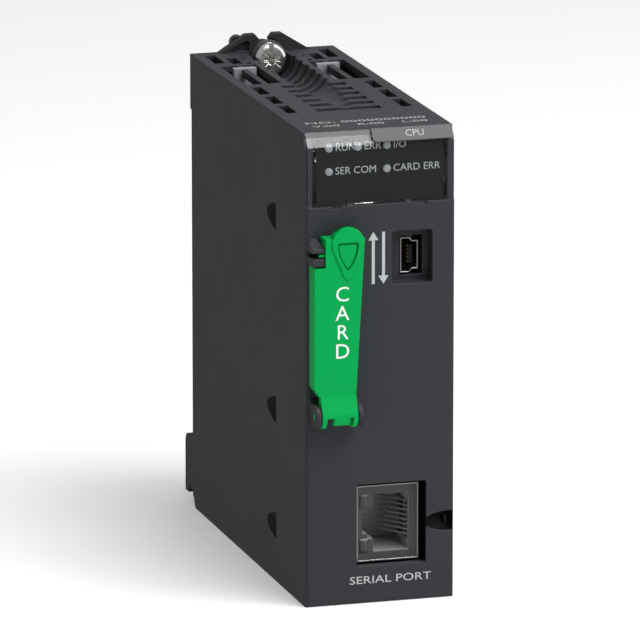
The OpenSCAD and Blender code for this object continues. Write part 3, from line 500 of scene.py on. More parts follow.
def board_tracks_group():
    """Copper tracks and the glass weave under the solder resist of a circuit board."""
    tree, given, out = new_group("Board Tracks", [("Scale", 420.0)],
                                 [("Tracks", "Float"), ("Weave", "Float")])
    where = place(tree)
    lanes = node(tree, "ShaderNodeMapping", [("Vector", where), ("Scale", (1.0, 0.12, 1.0))])
    cells = node(tree, "ShaderNodeTexVoronoi", [("Vector", lanes.outputs[0]),
                                                ("Scale", given.outputs["Scale"])], distance="CHEBYCHEV")
    tracks = ramp_between(tree, cells.outputs["Distance"], 0.42, 0.5)
    weave_scale = maths(tree, "MULTIPLY", given.outputs["Scale"], 4.0)
    warp = node(tree, "ShaderNodeTexWave", [("Vector", where), ("Scale", weave_scale)],
                wave_type="BANDS", bands_direction="Y")
    weft = node(tree, "ShaderNodeTexWave", [("Vector", where), ("Scale", weave_scale)],
                wave_type="BANDS", bands_direction="Z")
    weave = maths(tree, "MULTIPLY", warp.outputs[1], weft.outputs[1])
    tree.links.new(tracks, out.inputs["Tracks"])
    tree.links.new(weave, out.inputs["Weave"])
    return tree


# ------------------------------------------------------------------ materials

GROUPS = {}
FINISHES = {}


def effect(tree, name, **values):
    made = tree.nodes.new("ShaderNodeGroup")
    made.node_tree = GROUPS[name]
    made.label = name
    for key, value in values.items():
        made.inputs[key.replace("_", " ").title()].default_value = value
    return made


def mixed(tree, mask, first, second):
    """A colour between two, by a mask."""
    made = tree.nodes.new("ShaderNodeMix")
    made.data_type = "RGBA"
    tree.links.new(mask, made.inputs[0])
    for index, value in ((6, first), (7, second)):
        if hasattr(value, "is_output"):
            tree.links.new(value, made.inputs[index])
        else:
            made.inputs[index].default_value = (*value, 1.0)
    return made.outputs[2]


def scaled(rgb, by):
    return tuple(min(1.0, channel * by) for channel in rgb)


def spread(tree, value, low, high):
    made = node(tree, "ShaderNodeMapRange", [("Value", value), ("To Min", low), ("To Max", high)])
    return made.outputs[0]


def start_material(name):
    material = bpy.data.materials.new(name)
    material.use_nodes = True
    tree = material.node_tree
    tree.nodes.clear()
    surface = tree.nodes.new("ShaderNodeBsdfPrincipled")
    out = tree.nodes.new("ShaderNodeOutputMaterial")
    tree.links.new(surface.outputs[0], out.inputs[0])
    return material, tree, surface


def bump(tree, height, depth, normal=None):
    made = node(tree, "ShaderNodeBump", [("Height", height)])
    made.inputs["Strength"].default_value = 0.5
    made.inputs["Distance"].default_value = depth
    if normal is not None:
        tree.links.new(normal, made.inputs["Normal"])
    return made.outputs[0]


def plastic(name, rgb, rough, grain=3000.0, depth=0.000009, edge=0.0003, drift=0.05, wear=None, dust=None,
            specular=0.2):
    """A moulded plastic: tool grain, slow drift of tone and gloss, edges rubbed glossy and lightened partly as a
    painted highlight, and fine dust.
    """
    material, tree, surface = start_material(name)
    wear = colours().wear if wear is None else wear
    dust = colours().dust if dust is None else dust
    worn_and_highlit = effect(tree, "Edge Wear", radius=edge, amount=wear)
    pitted = effect(tree, "Moulded Grain", scale=grain, pits=0.5)
    slow = effect(tree, "Surface Drift", scale=45.0, contrast=1.0)
    settled = effect(tree, "Dust", amount=dust, scale=1600.0)
    base = mixed(tree, slow.outputs["Value"], scaled(rgb, 1 - drift), scaled(rgb, 1 + drift))
    speckled = mixed(tree, spread(tree, pitted.outputs["Value"], 0.0, 0.35), base, scaled(rgb, 0.82))
    # Lighter edges: partly rubbed plastic, partly a painted highlight.
    polished_and_highlit = mixed(tree, worn_and_highlit.outputs["Mask"], speckled, tuple(0.75 * c + 0.035 for c in scaled(rgb, 1.5)))
    dusty = mixed(tree, settled.outputs["Mask"], polished_and_highlit, (0.42, 0.41, 0.39))
    tree.links.new(dusty, surface.inputs["Base Color"])
    gloss = maths(tree, "ADD", spread(tree, pitted.outputs["Value"], rough - 0.05, rough + 0.05),
                  spread(tree, slow.outputs["Smears"], 0.0, 0.035))
    rubbed = maths(tree, "SUBTRACT", gloss, maths(tree, "MULTIPLY", worn_and_highlit.outputs["Mask"], 0.16))
    tree.links.new(maths(tree, "ADD", rubbed, settled.outputs["Mask"], True), surface.inputs["Roughness"])
    relief = bump(tree, pitted.outputs["Height"], depth, worn_and_highlit.outputs["Normal"])
    tree.links.new(relief, surface.inputs["Normal"])
    surface.inputs["Specular IOR Level"].default_value = specular
    return material


def metal(name, rgb, rough, lines=900.0, stretch=(1.0, 0.04, 1.0), depth=0.000004, edge=0.00012,
          tarnish=0.25):
    """A plated or drawn metal: fine lines, clouds of tarnish and edges brightened partly as a painted highlight.
    """
    material, tree, surface = start_material(name)
    worn_and_highlit = effect(tree, "Edge Wear", radius=edge, amount=0.6)
    drawn = effect(tree, "Drawn Metal", scale=lines, stretch=stretch)
    slow = effect(tree, "Surface Drift", scale=120.0, contrast=1.0)
    dulled = mixed(tree, maths(tree, "MULTIPLY", slow.outputs["Value"], tarnish), rgb, scaled(rgb, 0.62))
    streaked = mixed(tree, spread(tree, drawn.outputs["Value"], 0.0, 0.4), dulled, scaled(rgb, 0.8))
    # Brighter edges: partly rubbed metal, partly a painted highlight.
    tree.links.new(mixed(tree, worn_and_highlit.outputs["Mask"], streaked, scaled(rgb, 1.25)),
                   surface.inputs["Base Color"])
    gloss = maths(tree, "ADD", spread(tree, drawn.outputs["Value"], rough - 0.07, rough + 0.09),
                  spread(tree, slow.outputs["Smears"], 0.0, 0.1), True)
    tree.links.new(gloss, surface.inputs["Roughness"])
    surface.inputs["Metallic"].default_value = 1.0
    relief = bump(tree, drawn.outputs["Height"], depth, worn_and_highlit.outputs["Normal"])
    tree.links.new(relief, surface.inputs["Normal"])
    return material


def clear_plastic(name, rgb, rough, transmission=1.0, ior=1.5):
    """Clear polycarbonate with faint flow waves, which lets light through to what lies behind it."""
    material, tree, surface = start_material(name)
    worn_and_highlit = effect(tree, "Edge Wear", radius=0.0002, amount=0.5)
    slow = effect(tree, "Surface Drift", scale=60.0, contrast=1.0)
    tint = mixed(tree, slow.outputs["Value"], rgb, scaled(rgb, 0.96))
    # Slightly lighter edges, partly a painted highlight.
    tree.links.new(mixed(tree, worn_and_highlit.outputs["Mask"], tint, scaled(rgb, 1.05)), surface.inputs["Base Color"])
    gloss = maths(tree, "ADD", spread(tree, slow.outputs["Smears"], rough, rough + 0.015),
                  maths(tree, "MULTIPLY", worn_and_highlit.outputs["Mask"], 0.2), True)
    tree.links.new(gloss, surface.inputs["Roughness"])
    surface.inputs["Transmission Weight"].default_value = transmission
    surface.inputs["IOR"].default_value = ior
    tree.links.new(bump(tree, slow.outputs["Value"], 0.000008), surface.inputs["Normal"])
    out = tree.nodes["Material Output"]
    through = node(tree, "ShaderNodeBsdfTransparent", [("Color", (0.86, 0.88, 0.88, 1.0))])
    either = tree.nodes.new("ShaderNodeMixShader")
    path = tree.nodes.new("ShaderNodeLightPath")
    passing = maths(tree, "MAXIMUM", path.outputs["Is Shadow Ray"], path.outputs["Is Diffuse Ray"])
    tree.links.new(passing, either.inputs[0])
    tree.links.new(surface.outputs[0], either.inputs[1])
    tree.links.new(through.outputs[0], either.inputs[2])
    tree.links.new(either.outputs[0], out.inputs[0])
    return material


def board_material(name, rgb):
    """A circuit board: solder resist over copper tracks and glass weave."""
    material, tree, surface = start_material(name)
    worn_and_highlit = effect(tree, "Edge Wear", radius=0.0001, amount=0.5)
    laid = effect(tree, "Board Tracks", scale=420.0)
    slow = effect(tree, "Surface Drift", scale=90.0, contrast=1.0)
    resist = mixed(tree, laid.outputs["Tracks"], rgb, scaled(rgb, 2.1))
    woven = mixed(tree, maths(tree, "MULTIPLY", laid.outputs["Weave"], 0.3), resist, scaled(rgb, 0.7))
    drifted = mixed(tree, maths(tree, "MULTIPLY", slow.outputs["Value"], 0.25), woven, scaled(rgb, 0.8))
    tree.links.new(mixed(tree, worn_and_highlit.outputs["Mask"], drifted, (0.33, 0.3, 0.18)),
                   surface.inputs["Base Color"])
    tree.links.new(spread(tree, slow.outputs["Smears"], 0.26, 0.4), surface.inputs["Roughness"])
    height = maths(tree, "ADD", laid.outputs["Tracks"], maths(tree, "MULTIPLY", laid.outputs["Weave"], 0.12))
    tree.links.new(bump(tree, height, 0.00003, worn_and_highlit.outputs["Normal"]), surface.inputs["Normal"])
    surface.inputs["Coat Weight"].default_value = 0.3
    return material


def lamp_material(name, rgb):
    """A milky lamp lens: soft inside, smooth outside."""
    material, tree, surface = start_material(name)
    worn_and_highlit = effect(tree, "Edge Wear", radius=0.0002, amount=0.3)
    pitted = effect(tree, "Moulded Grain", scale=4200.0, pits=0.3)
    slow = effect(tree, "Surface Drift", scale=400.0, contrast=1.0)
    milky = mixed(tree, slow.outputs["Value"], scaled(rgb, 0.92), scaled(rgb, 1.06))
    # Lighter edges, partly a painted highlight.
    tree.links.new(mixed(tree, worn_and_highlit.outputs["Mask"], milky, scaled(rgb, 1.3)), surface.inputs["Base Color"])
    tree.links.new(spread(tree, pitted.outputs["Value"], 0.2, 0.34), surface.inputs["Roughness"])
    relief = bump(tree, pitted.outputs["Height"], 0.000004, worn_and_highlit.outputs["Normal"])
    tree.links.new(relief, surface.inputs["Normal"])
    surface.inputs["Subsurface Weight"].default_value = 0.35
    surface.inputs["Subsurface Radius"].default_value = (0.0008, 0.0008, 0.0008)
    return material


def make_finishes():
    tone = colours()
    FINISHES.update({
        "housing_plastic": plastic("Satin housing", tone.housing, 0.5, grain=2600.0, edge=0.00035),
        # Near-black and rough: painted shade for the housing's pockets and dent.
        "recess_painted_shade": plastic("Painted shade in moulded recesses", tone.recess_shade, 0.6, grain=2000.0, wear=0.0, dust=0.0,
                                  specular=0.08),
        "rear_plastic": plastic("Satin rear cover", tone.rear, 0.54, grain=2400.0, edge=0.0003),
        "frame_plastic": plastic("Light frame", (0.3, 0.31, 0.33), 0.48, grain=3400.0, edge=0.00015),
        "window_clear": clear_plastic("Clear window", (0.93, 0.95, 0.96), 0.012, ior=1.43),
        "legend_black": plastic("Printed legend panel", tone.legend, 0.5, grain=5200.0, depth=0.000002,
                                edge=0.00015, wear=0.05, dust=0.0, specular=0.06),
        "lamp_diffuser": lamp_material("Milky lamp lens", tone.lamp),
        "guide_clear": clear_plastic("Light pipe", (0.9, 0.93, 0.95), 0.12, 0.9),
        "label_plastic": plastic("Smooth label plate", tone.label, 0.3, grain=5000.0, depth=0.000003,
                                 edge=0.00015, wear=0.25, dust=0.03),
        "door_green": plastic("Glossy green door", tone.door, 0.42, grain=3800.0, depth=0.000005, edge=0.0002,
                              drift=0.03, wear=0.06, dust=0.0, specular=0.07),
        "card_plastic": plastic("Card shell", (0.02, 0.022, 0.03), 0.5, grain=3600.0, edge=0.0002),
        "connector_plastic": plastic("Glass-filled connector", (0.014, 0.014, 0.015), 0.42, grain=5200.0,
                                     depth=0.000009, edge=0.00012, wear=0.2, dust=0.0),
        "contact_gold": metal("Gold contact", tone.gold, 0.3, lines=2400.0, tarnish=0.15, edge=0.00006),
        "shield_metal": metal("Nickel shield", tone.nickel, 0.24, lines=1300.0, stretch=(1.0, 0.3, 0.05),
                              edge=0.00012),
        # A darker copy of the socket's sheet metal: painted shade on the can's face and its springs.
        "socket_metal": metal("Socket sheet with painted shade", (0.22, 0.22, 0.215), 0.4, lines=700.0,
                              stretch=(0.3, 1.0, 1.0), edge=0.0001, tarnish=0.5),
        "pale_gold": metal("Worn contact", (0.72, 0.7, 0.66), 0.3, lines=2400.0, tarnish=0.2, edge=0.00006),
        "socket_plastic": plastic("Glossy socket body", (0.3, 0.3, 0.3), 0.24, grain=5200.0, depth=0.000005,
                                  edge=0.00012, wear=0.2, dust=0.0, specular=0.5),
        "spring_steel": metal("Spring steel", (0.56, 0.57, 0.58), 0.3, lines=1600.0,
                              stretch=(0.05, 1.0, 1.0)),
        "board_green": board_material("Green board", tone.board),
        "chip_black": plastic("Moulded chip", (0.018, 0.018, 0.019), 0.55, grain=4600.0, depth=0.00001,
                              edge=0.00012, wear=0.15, dust=0.0),
        "sink_aluminium": metal("Extruded aluminium", (0.72, 0.73, 0.75), 0.38, lines=1100.0,
                                stretch=(1.0, 1.0, 0.04)),
        "capacitor_can": metal("Drawn can", (0.6, 0.62, 0.66), 0.32, lines=1500.0, stretch=(0.05, 1.0, 1.0)),
        "part_ceramic": plastic("Ceramic chip part", (0.24, 0.16, 0.1), 0.46, grain=6000.0, edge=0.0001,
                                wear=0.3, dust=0.0),
        "screw_steel": metal("Bright nickel screw", (0.97, 0.96, 0.93), 0.2, lines=1400.0,
                             stretch=(1.0, 0.3, 1.0), depth=0.000003, edge=0.0001, tarnish=0.12),
        "dark_steel": metal("Blackened steel", (0.1, 0.102, 0.108), 0.36, lines=1500.0, tarnish=0.3),
        "print": plastic("Printed ink", tone.print_ink, 0.5, grain=5200.0, depth=0.000003, edge=0.00005,
                         drift=0.06, wear=0.0, dust=0.0),
        "faint_print": plastic("Faint printed ink", (0.44, 0.44, 0.45), 0.5, grain=5200.0, depth=0.000003,
                               edge=0.00005, drift=0.06, wear=0.0, dust=0.0),
        "plate_print": plastic("Pale printed ink", (0.45, 0.45, 0.46), 0.45, grain=5200.0, depth=0.000003,
                               edge=0.00005, drift=0.06, wear=0.0, dust=0.0),
        "door_print": plastic("Printed ink on the door", (0.78, 0.86, 0.8), 0.42, grain=5200.0,
                              depth=0.000003, edge=0.00005, drift=0.04, wear=0.0, dust=0.0),
    })


# ------------------------------------------------------------------ operators

class ModelOperator:
    """What every operator here has in common."""
    bl_options = {"REGISTER", "UNDO"}


class MODULE_OT_finishes(ModelOperator, bpy.types.Operator):
    """Build the shared surface effects and one material for each finish, and lay them on the frame's parts"""
    bl_idname = "module.finishes"
    bl_label = "Finishes"

    def execute(self, context):
        for tree in (edge_highlight_and_wear_group(), moulded_grain_group(), surface_drift_group(), dust_group(),
                     drawn_metal_group(), board_tracks_group()):
            GROUPS[tree.name] = tree
        make_finishes()
        for name, part in frame["nodes"].items():
            part.data.materials.clear()
            part.data.materials.append(FINISHES[SLOT_OF[name]])
        return {"FINISHED"}


class MODULE_OT_housing(ModelOperator, bpy.types.Operator):
    """Soften the edges of the housing and lay a near-black material on its pockets and dent as painted shade"""
    bl_idname = "module.housing"
    bl_label = "Housing"

    def execute(self, context):
        shell = softened("housing", "housing_shell", sizes().shell_edge, FINISHES["housing_plastic"])
        # The pockets and the dent take the near-black material as painted shade.
        shell.data.materials.append(FINISHES["recess_painted_shade"])
        corner = span("housing")[1]
        rows = (*POCKET_HEIGHTS, corner.z - TOP_POCKET_DOWN)
        edit(shell)
        pick_faces(shell, lambda centre, normal: self.in_pocket(centre, corner.x, rows) or
                   self.in_dent(centre, corner.x))
        shell.active_material_index = 1
        bpy.ops.object.material_slot_assign()
        leave()
        return {"FINISHED"}

    def in_pocket(self, centre, side, rows):
        """Whether a face lies in one of the side walls' bullet-shaped pockets."""
        x, y, z = abs(centre.x) / MM, (centre.y - PANEL_Y) / MM, centre.z / MM
        return (side - sizes().painted_shade_depth / MM < x < side - 0.02 and
                POCKET_Y - 0.02 < y < POCKET_Y + POCKET_LENGTH and
                any(abs(z - row) < POCKET_HALF_HEIGHT for row in rows))

    def in_dent(self, centre, side):
        """Whether a face lies in the bullet-shaped dent at the front's edge."""
        x, y, z = centre.x / MM, (centre.y - PANEL_Y) / MM, centre.z / MM
        return (side - DENT_LENGTH < x < side - 0.3 and
                0.02 < y < sizes().painted_shade_depth / MM + 0.4 and
                abs(z - DENT_Z) < DENT_HALF_HEIGHT)


class MODULE_OT_rear(ModelOperator, bpy.types.Operator):
    """Soften the plug and the rail fittings on the rear cover"""
    bl_idname = "module.rear"
    bl_label = "Rear fittings"

    def execute(self, context):
        softened("locating_peg", "locating_stud", sizes().small_edge, FINISHES["dark_steel"])
        softened("earth_spring", "earth_tongue", sizes().metal_edge, FINISHES["spring_steel"])
        softened("backplane_plug", "backplane_housing", sizes().small_edge, FINISHES["connector_plastic"])
        return {"FINISHED"}


class MODULE_OT_door(ModelOperator, bpy.types.Operator):
    """Round the card door and print the letters down its face"""
    bl_idname = "module.door"
    bl_label = "Card door"

    def execute(self, context):
        lo, hi = span("card_door")
        face = lo.y + 1.7
        pad_radius = 3.45
        pad_length = 8.0
        pad = at(lo.x + 7.15, 0, hi.z - pad_radius)
        front = at(0, face + 0.05, 0).y
        neck = at(0, 0, hi.z - 36.5).z

        def off_the_pad(point):
            down = (pad.z - point.z) / MM
            side = abs(point.x - pad.x) / MM
            if down < 0:
                return math.hypot(down, side) > pad_radius + 0.05
            return down > pad_length or side > pad_radius + 0.1 - 0.35 * down

        door = from_frame("card_door", "door_cover")
        round_edges(door, sizes().door_edge, 4, 35, lambda a, b: max(a.y, b.y) < front and
                    min(a.y, b.y) > front - 0.2 * MM and min(a.z, b.z) > neck and
                    off_the_pad(a) and off_the_pad(b))
        round_edges(door, 0.16 * MM, 3, 35, lambda a, b: max(a.y, b.y) < front - 0.2 * MM and
                    min(a.z, b.z) > pad.z - (pad_length + 0.5) * MM)
        shade(door)
        put_on(door, FINISHES["door_green"], "door", "door_green", "card_door")
        top_letter = hi.z - 14.16
        pitch = sizes().letter_pitch / MM
        for index, letter in enumerate(words().door):
            spot = (lo.x + 5.96, face - LIFT, top_letter - pitch * index)
            lettering(f"door_letter_{index + 1}", letter, 3.1, spot, FACING_FRONT, FINISHES["door_print"],
                      "door", "door_green", "CENTER")
        return {"FINISHED"}


class MODULE_OT_window(ModelOperator, bpy.types.Operator):
    """Model the lamp lenses behind the clear window and print their legends"""
    bl_idname = "module.window"
    bl_label = "Status window"

    def execute(self, context):
        softened("legend_panel", "legend_sheet", sizes().metal_edge, FINISHES["legend_black"])
        lo, hi = span("status_lamps")
        radius = sizes().lamp_radius / MM
        columns = (lo.x + radius, (lo.x + hi.x) / 2, hi.x - radius)
        rows = (hi.z - radius, lo.z + radius)
        first = self.lens(columns[0], rows[0], lo.y, hi.y, radius)
        put_on(first, FINISHES["lamp_diffuser"], "module", "lamp_diffuser", "status_lamps")
        spots = ((1, 0), (2, 0), (0, 1), (2, 1))
        for index, (column, row) in enumerate(spots):
            copy = twin(first, f"lamp_lens_{index + 2}",
                        (columns[column] - columns[0], 0, rows[row] - rows[0]))
            put_on(copy, FINISHES["lamp_diffuser"], "module", "lamp_diffuser")
        face = span("legend_panel")[0].y - LIFT
        said = words()
        for name, text, column, row in (("upper_left", said.upper_left, 0, 0),
                                        ("upper_middle", said.upper_middle, 1, 0),
                                        ("upper_right", said.upper_right, 2, 0),
                                        ("lower_left", said.lower_left, 0, 1),
                                        ("lower_right", said.lower_right, 2, 1)):
            lettering(f"legend_{name}", text, 1.5, (columns[column] + 1.35, face, rows[row]),
                      FACING_FRONT, FINISHES["print"], "module", "legend_black")
        return {"FINISHED"}

    def lens(self, x, z, front, back, radius):
        """A bullet-shaped lens: a rod whose front is drawn in and forwards in steps."""
        lens = start_rod("lamp_lens_1", (x, (front + back) / 2, z), radius, back - front, (0, 1, 0), 32)
        edit(lens)
        tip = at(0, front, 0).y
        pick_faces(lens, lambda centre, normal: abs(centre.y - tip) < 0.02 * MM)
        for step in range(3):
            bpy.ops.mesh.inset(thickness=0.16 * MM, depth=sizes().lamp_dome * (0.5, 0.32, 0.18)[step] * 0.5)
        leave()
        round_edges(lens, 0.06 * MM, 2, 50)
        shade(lens, 60)
        return lens


class MODULE_OT_label(ModelOperator, bpy.types.Operator):
    """Soften the plate on the window's slope and print its word"""
    bl_idname = "module.label"
    bl_label = "Label plate"

    def execute(self, context):
        softened("label_plate", "label_tab", 0.12 * MM, FINISHES["label_plastic"], 3)
        part = frame["nodes"]["label_plate"].data
        outward = max(part.polygons, key=lambda face: face.area if face.normal.y < 0 else 0)
        normal = outward.normal.copy()
        rise = Vector((1, 0, 0)).cross(normal)
        rise = -rise if rise.z < 0 else rise
        turn = Matrix((Vector((1, 0, 0)), rise, normal)).transposed()
        level = max(corner.co.dot(normal) for corner in part.vertices)
        lo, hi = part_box("label_plate")
        middle = (lo + hi) / 2
        middle += normal * (level + LIFT * MM - middle.dot(normal))
        middle.x = hi.x - 8.2 * MM
        spot = Vector((middle.x / MM, (middle.y - PANEL_Y) / MM, middle.z / MM))
        lettering("plate_word", words().plate, 1.5, spot, turn, FINISHES["plate_print"],
                  "module", "label_plastic", "CENTER")
        return {"FINISHED"}


class MODULE_OT_jack(ModelOperator, bpy.types.Operator):
    """Round the network socket's sheet metal, and add its rim, latch springs and printed word"""
    bl_idname = "module.jack"
    bl_label = "Network socket"

    def execute(self, context):
        # The can's face takes the darker copy of its sheet metal as painted shade; the rim keeps the bright
        # nickel.
        softened("jack_shield", "socket_can", sizes().metal_edge, FINISHES["socket_metal"])
        softened("jack_body", "socket_body", 0.08 * MM, FINISHES["socket_plastic"])
        softened("jack_contacts", "socket_contacts", 0.03 * MM, FINISHES["pale_gold"], 1)
        lo, hi = span("jack_shield")
        side_tab = 0.6
        left = lo.x + side_tab
        self.rim(left, hi.x, lo.z, hi.z, lo.y)
        spring = self.latch_spring(left + 1.55, lo.y, lo.z + 3.4)
        put_on(spring, FINISHES["socket_metal"], "module", "shield_metal")
        other = twin(spring, "socket_spring_2", (0, 0, (hi.z - lo.z) - 6.8))
        put_on(other, FINISHES["socket_metal"], "module", "shield_metal")
        lettering("socket_word", words().socket, 1.6, (2.2, -LIFT, lo.z - 3.3), FACING_FRONT,
                  FINISHES["print"], "module", "housing_plastic", "CENTER", 17.6)
        return {"FINISHED"}

    def rim(self, x0, x1, z0, z1, y):
        """The folded front edge of the can: a sheet, opened by an inset and given its thickness."""
        rim = start_block("socket_rim", (x0, y - 0.12, z0), (x1, y - 0.02, z1))
        edit(rim)
        pick_faces(rim, lambda centre, normal: abs(normal.y) > 0.9)
        bpy.ops.mesh.inset(thickness=0.32 * MM, use_individual=True)
        bpy.ops.mesh.bridge_edge_loops()
        leave()
        round_edges(rim, 0.045 * MM, 2, 50)
        shade(rim)
        put_on(rim, FINISHES["shield_metal"], "module", "shield_metal")

    def latch_spring(self, x, y, z):
        """One springy tongue of the can, pressed out of its face in two steps."""
        spring = start_block("socket_spring_1", (x - 0.9, y - 0.1, z - 1.5), (x + 0.9, y - 0.02, z + 1.5))
        edit(spring)
        front = at(0, y - 0.1, 0).y
        pick_faces(spring, lambda centre, normal: abs(centre.y - front) < 0.01 * MM and normal.y < -0.9)
        bpy.ops.mesh.inset(thickness=0.35 * MM, depth=0.12 * MM)
        bpy.ops.mesh.inset(thickness=0.2 * MM, depth=0.06 * MM)
        leave()
        round_edges(spring, 0.05 * MM, 2, 25)
        shade(spring)
        return spring


class MODULE_OT_port(ModelOperator, bpy.types.Operator):
    """Round the service port's shell and model the printed two-way arrow beside it"""
    bl_idname = "module.port"
    bl_label = "Service port"

    def execute(self, context):
        softened("usb_shell", "port_shell", 0.07 * MM, FINISHES["shield_metal"])
        softened("usb_tongue", "port_tongue", 0.06 * MM, FINISHES["connector_plastic"])
        softened("usb_contacts", "port_contacts", 0.03 * MM, FINISHES["contact_gold"], 1)
        middle = (span("usb_shell")[0].z + span("usb_shell")[1].z) / 2 + 0.5
        for name, x, way in (("port_arrow_up", -1.6, 1), ("port_arrow_down", 0.6, -1)):
            put_on(self.arrow(name, x, middle, way), FINISHES["print"], "module", "housing_plastic")
        return {"FINISHED"}

    def arrow(self, name, x, z, way):
        """A flat arrow: a bar whose end is widened and then drawn to a point."""
        rise = sizes().print_rise / MM
        half_width = 0.32
        half_length = 4.6
        point = 1.7
        shaft = start_block(name, (x - half_width, -rise, z - half_length),
                            (x + half_width, 0, z + half_length))
        shoulder = at(x, 0, z + half_length * way)
        tip = at(x, 0, z + (half_length + point) * way)
        edit(shaft)
        pick_faces(shaft, lambda centre, normal: abs(centre.z - shoulder.z) < 0.01 * MM)
        bpy.ops.mesh.extrude_region_move(TRANSFORM_OT_translate={"value": (0, 0, -0.001 * MM * way)})
        bpy.ops.transform.resize(value=(3.4, 1, 1), center_override=shoulder)
        bpy.ops.mesh.extrude_region_move(TRANSFORM_OT_translate={"value": (0, 0, point * MM * way)})
        bpy.ops.transform.resize(value=(0.06, 1, 1), center_override=tip)
        bpy.ops.mesh.select_all(action="SELECT")
        bpy.ops.mesh.normals_make_consistent(inside=False)
        bpy.ops.transform.translate(value=(0, 0, -point / 2 * MM * way))
        leave()
        shade(shaft)
        return shaft


class MODULE_OT_card(ModelOperator, bpy.types.Operator):
    """Soften the memory card, its socket and its contacts, and add the card's label and contact pads"""
    bl_idname = "module.card"
    bl_label = "Memory card"

    def execute(self, context):
        softened("memory_card", "card_shell", 0.15 * MM, FINISHES["card_plastic"])
        softened("card_socket", "card_holder", 0.12 * MM, FINISHES["connector_plastic"])
        softened("card_contacts", "card_leads", 0.04 * MM, FINISHES["contact_gold"], 1)
        lo, hi = span("memory_card")
        sheet = start_block("card_label", (hi.x - 0.3, lo.y + 6, lo.z + 4),
                            (hi.x - 0.22, hi.y - 10, hi.z - 4))
        edit(sheet)
        pick_faces(sheet, lambda centre, normal: normal.x > 0.9)
        bpy.ops.mesh.inset(thickness=0.5 * MM, depth=0.03 * MM)
        leave()
        round_edges(sheet, 0.03 * MM, 2, 50)
        shade(sheet)
        put_on(sheet, FINISHES["label_plastic"], "card", "label_plastic")
        pad = start_block("card_pad_1", (lo.x - 0.04, hi.y - 6.5, lo.z + 2.6),
                          (lo.x + 0.05, hi.y - 2, lo.z + 4))
        edit(pad)
        pick_faces(pad, lambda centre, normal: normal.x < -0.9)
        bpy.ops.mesh.inset(thickness=0.15 * MM, depth=0.02 * MM)
        leave()
        shade(pad)
        put_on(pad, FINISHES["contact_gold"], "card", "contact_gold")
        for index in range(1, 8):
            copy = twin(pad, f"card_pad_{index + 1}", (0, 0, 2.5 * index))
            put_on(copy, FINISHES["contact_gold"], "card", "contact_gold")
        return {"FINISHED"}


class MODULE_OT_inside(ModelOperator, bpy.types.Operator):
    """Soften the boards, the parts on them and the frame that holds them"""
    bl_idname = "module.inside"
    bl_label = "Boards and frame"

    def execute(self, context):
        for name, piece, width in (
                ("board_frame", "inner_frame", 0.15), ("main_board", "power_board", 0.08),
                ("side_board", "logic_board", 0.08), ("lamp_board", "indicator_board", 0.05),
                ("board_link", "board_bridge", 0.15), ("processor", "processor_case", 0.12),
                ("heat_sink", "cooling_fins", 0.12), ("memory_chips", "memory_cases", 0.1),
                ("capacitors", "storage_cans", 0.35), ("transformer", "isolating_coil", 0.1),
                ("small_parts", "chip_parts", 0.08), ("board_screws", "spacer_screws", 0.2),
                ("backplane_pins", "backplane_contacts", 0.06), ("light_guide", "light_pipes", 0.06)):
            softened(name, piece, width * MM, FINISHES[SLOT_OF[name]])
        return {"FINISHED"}


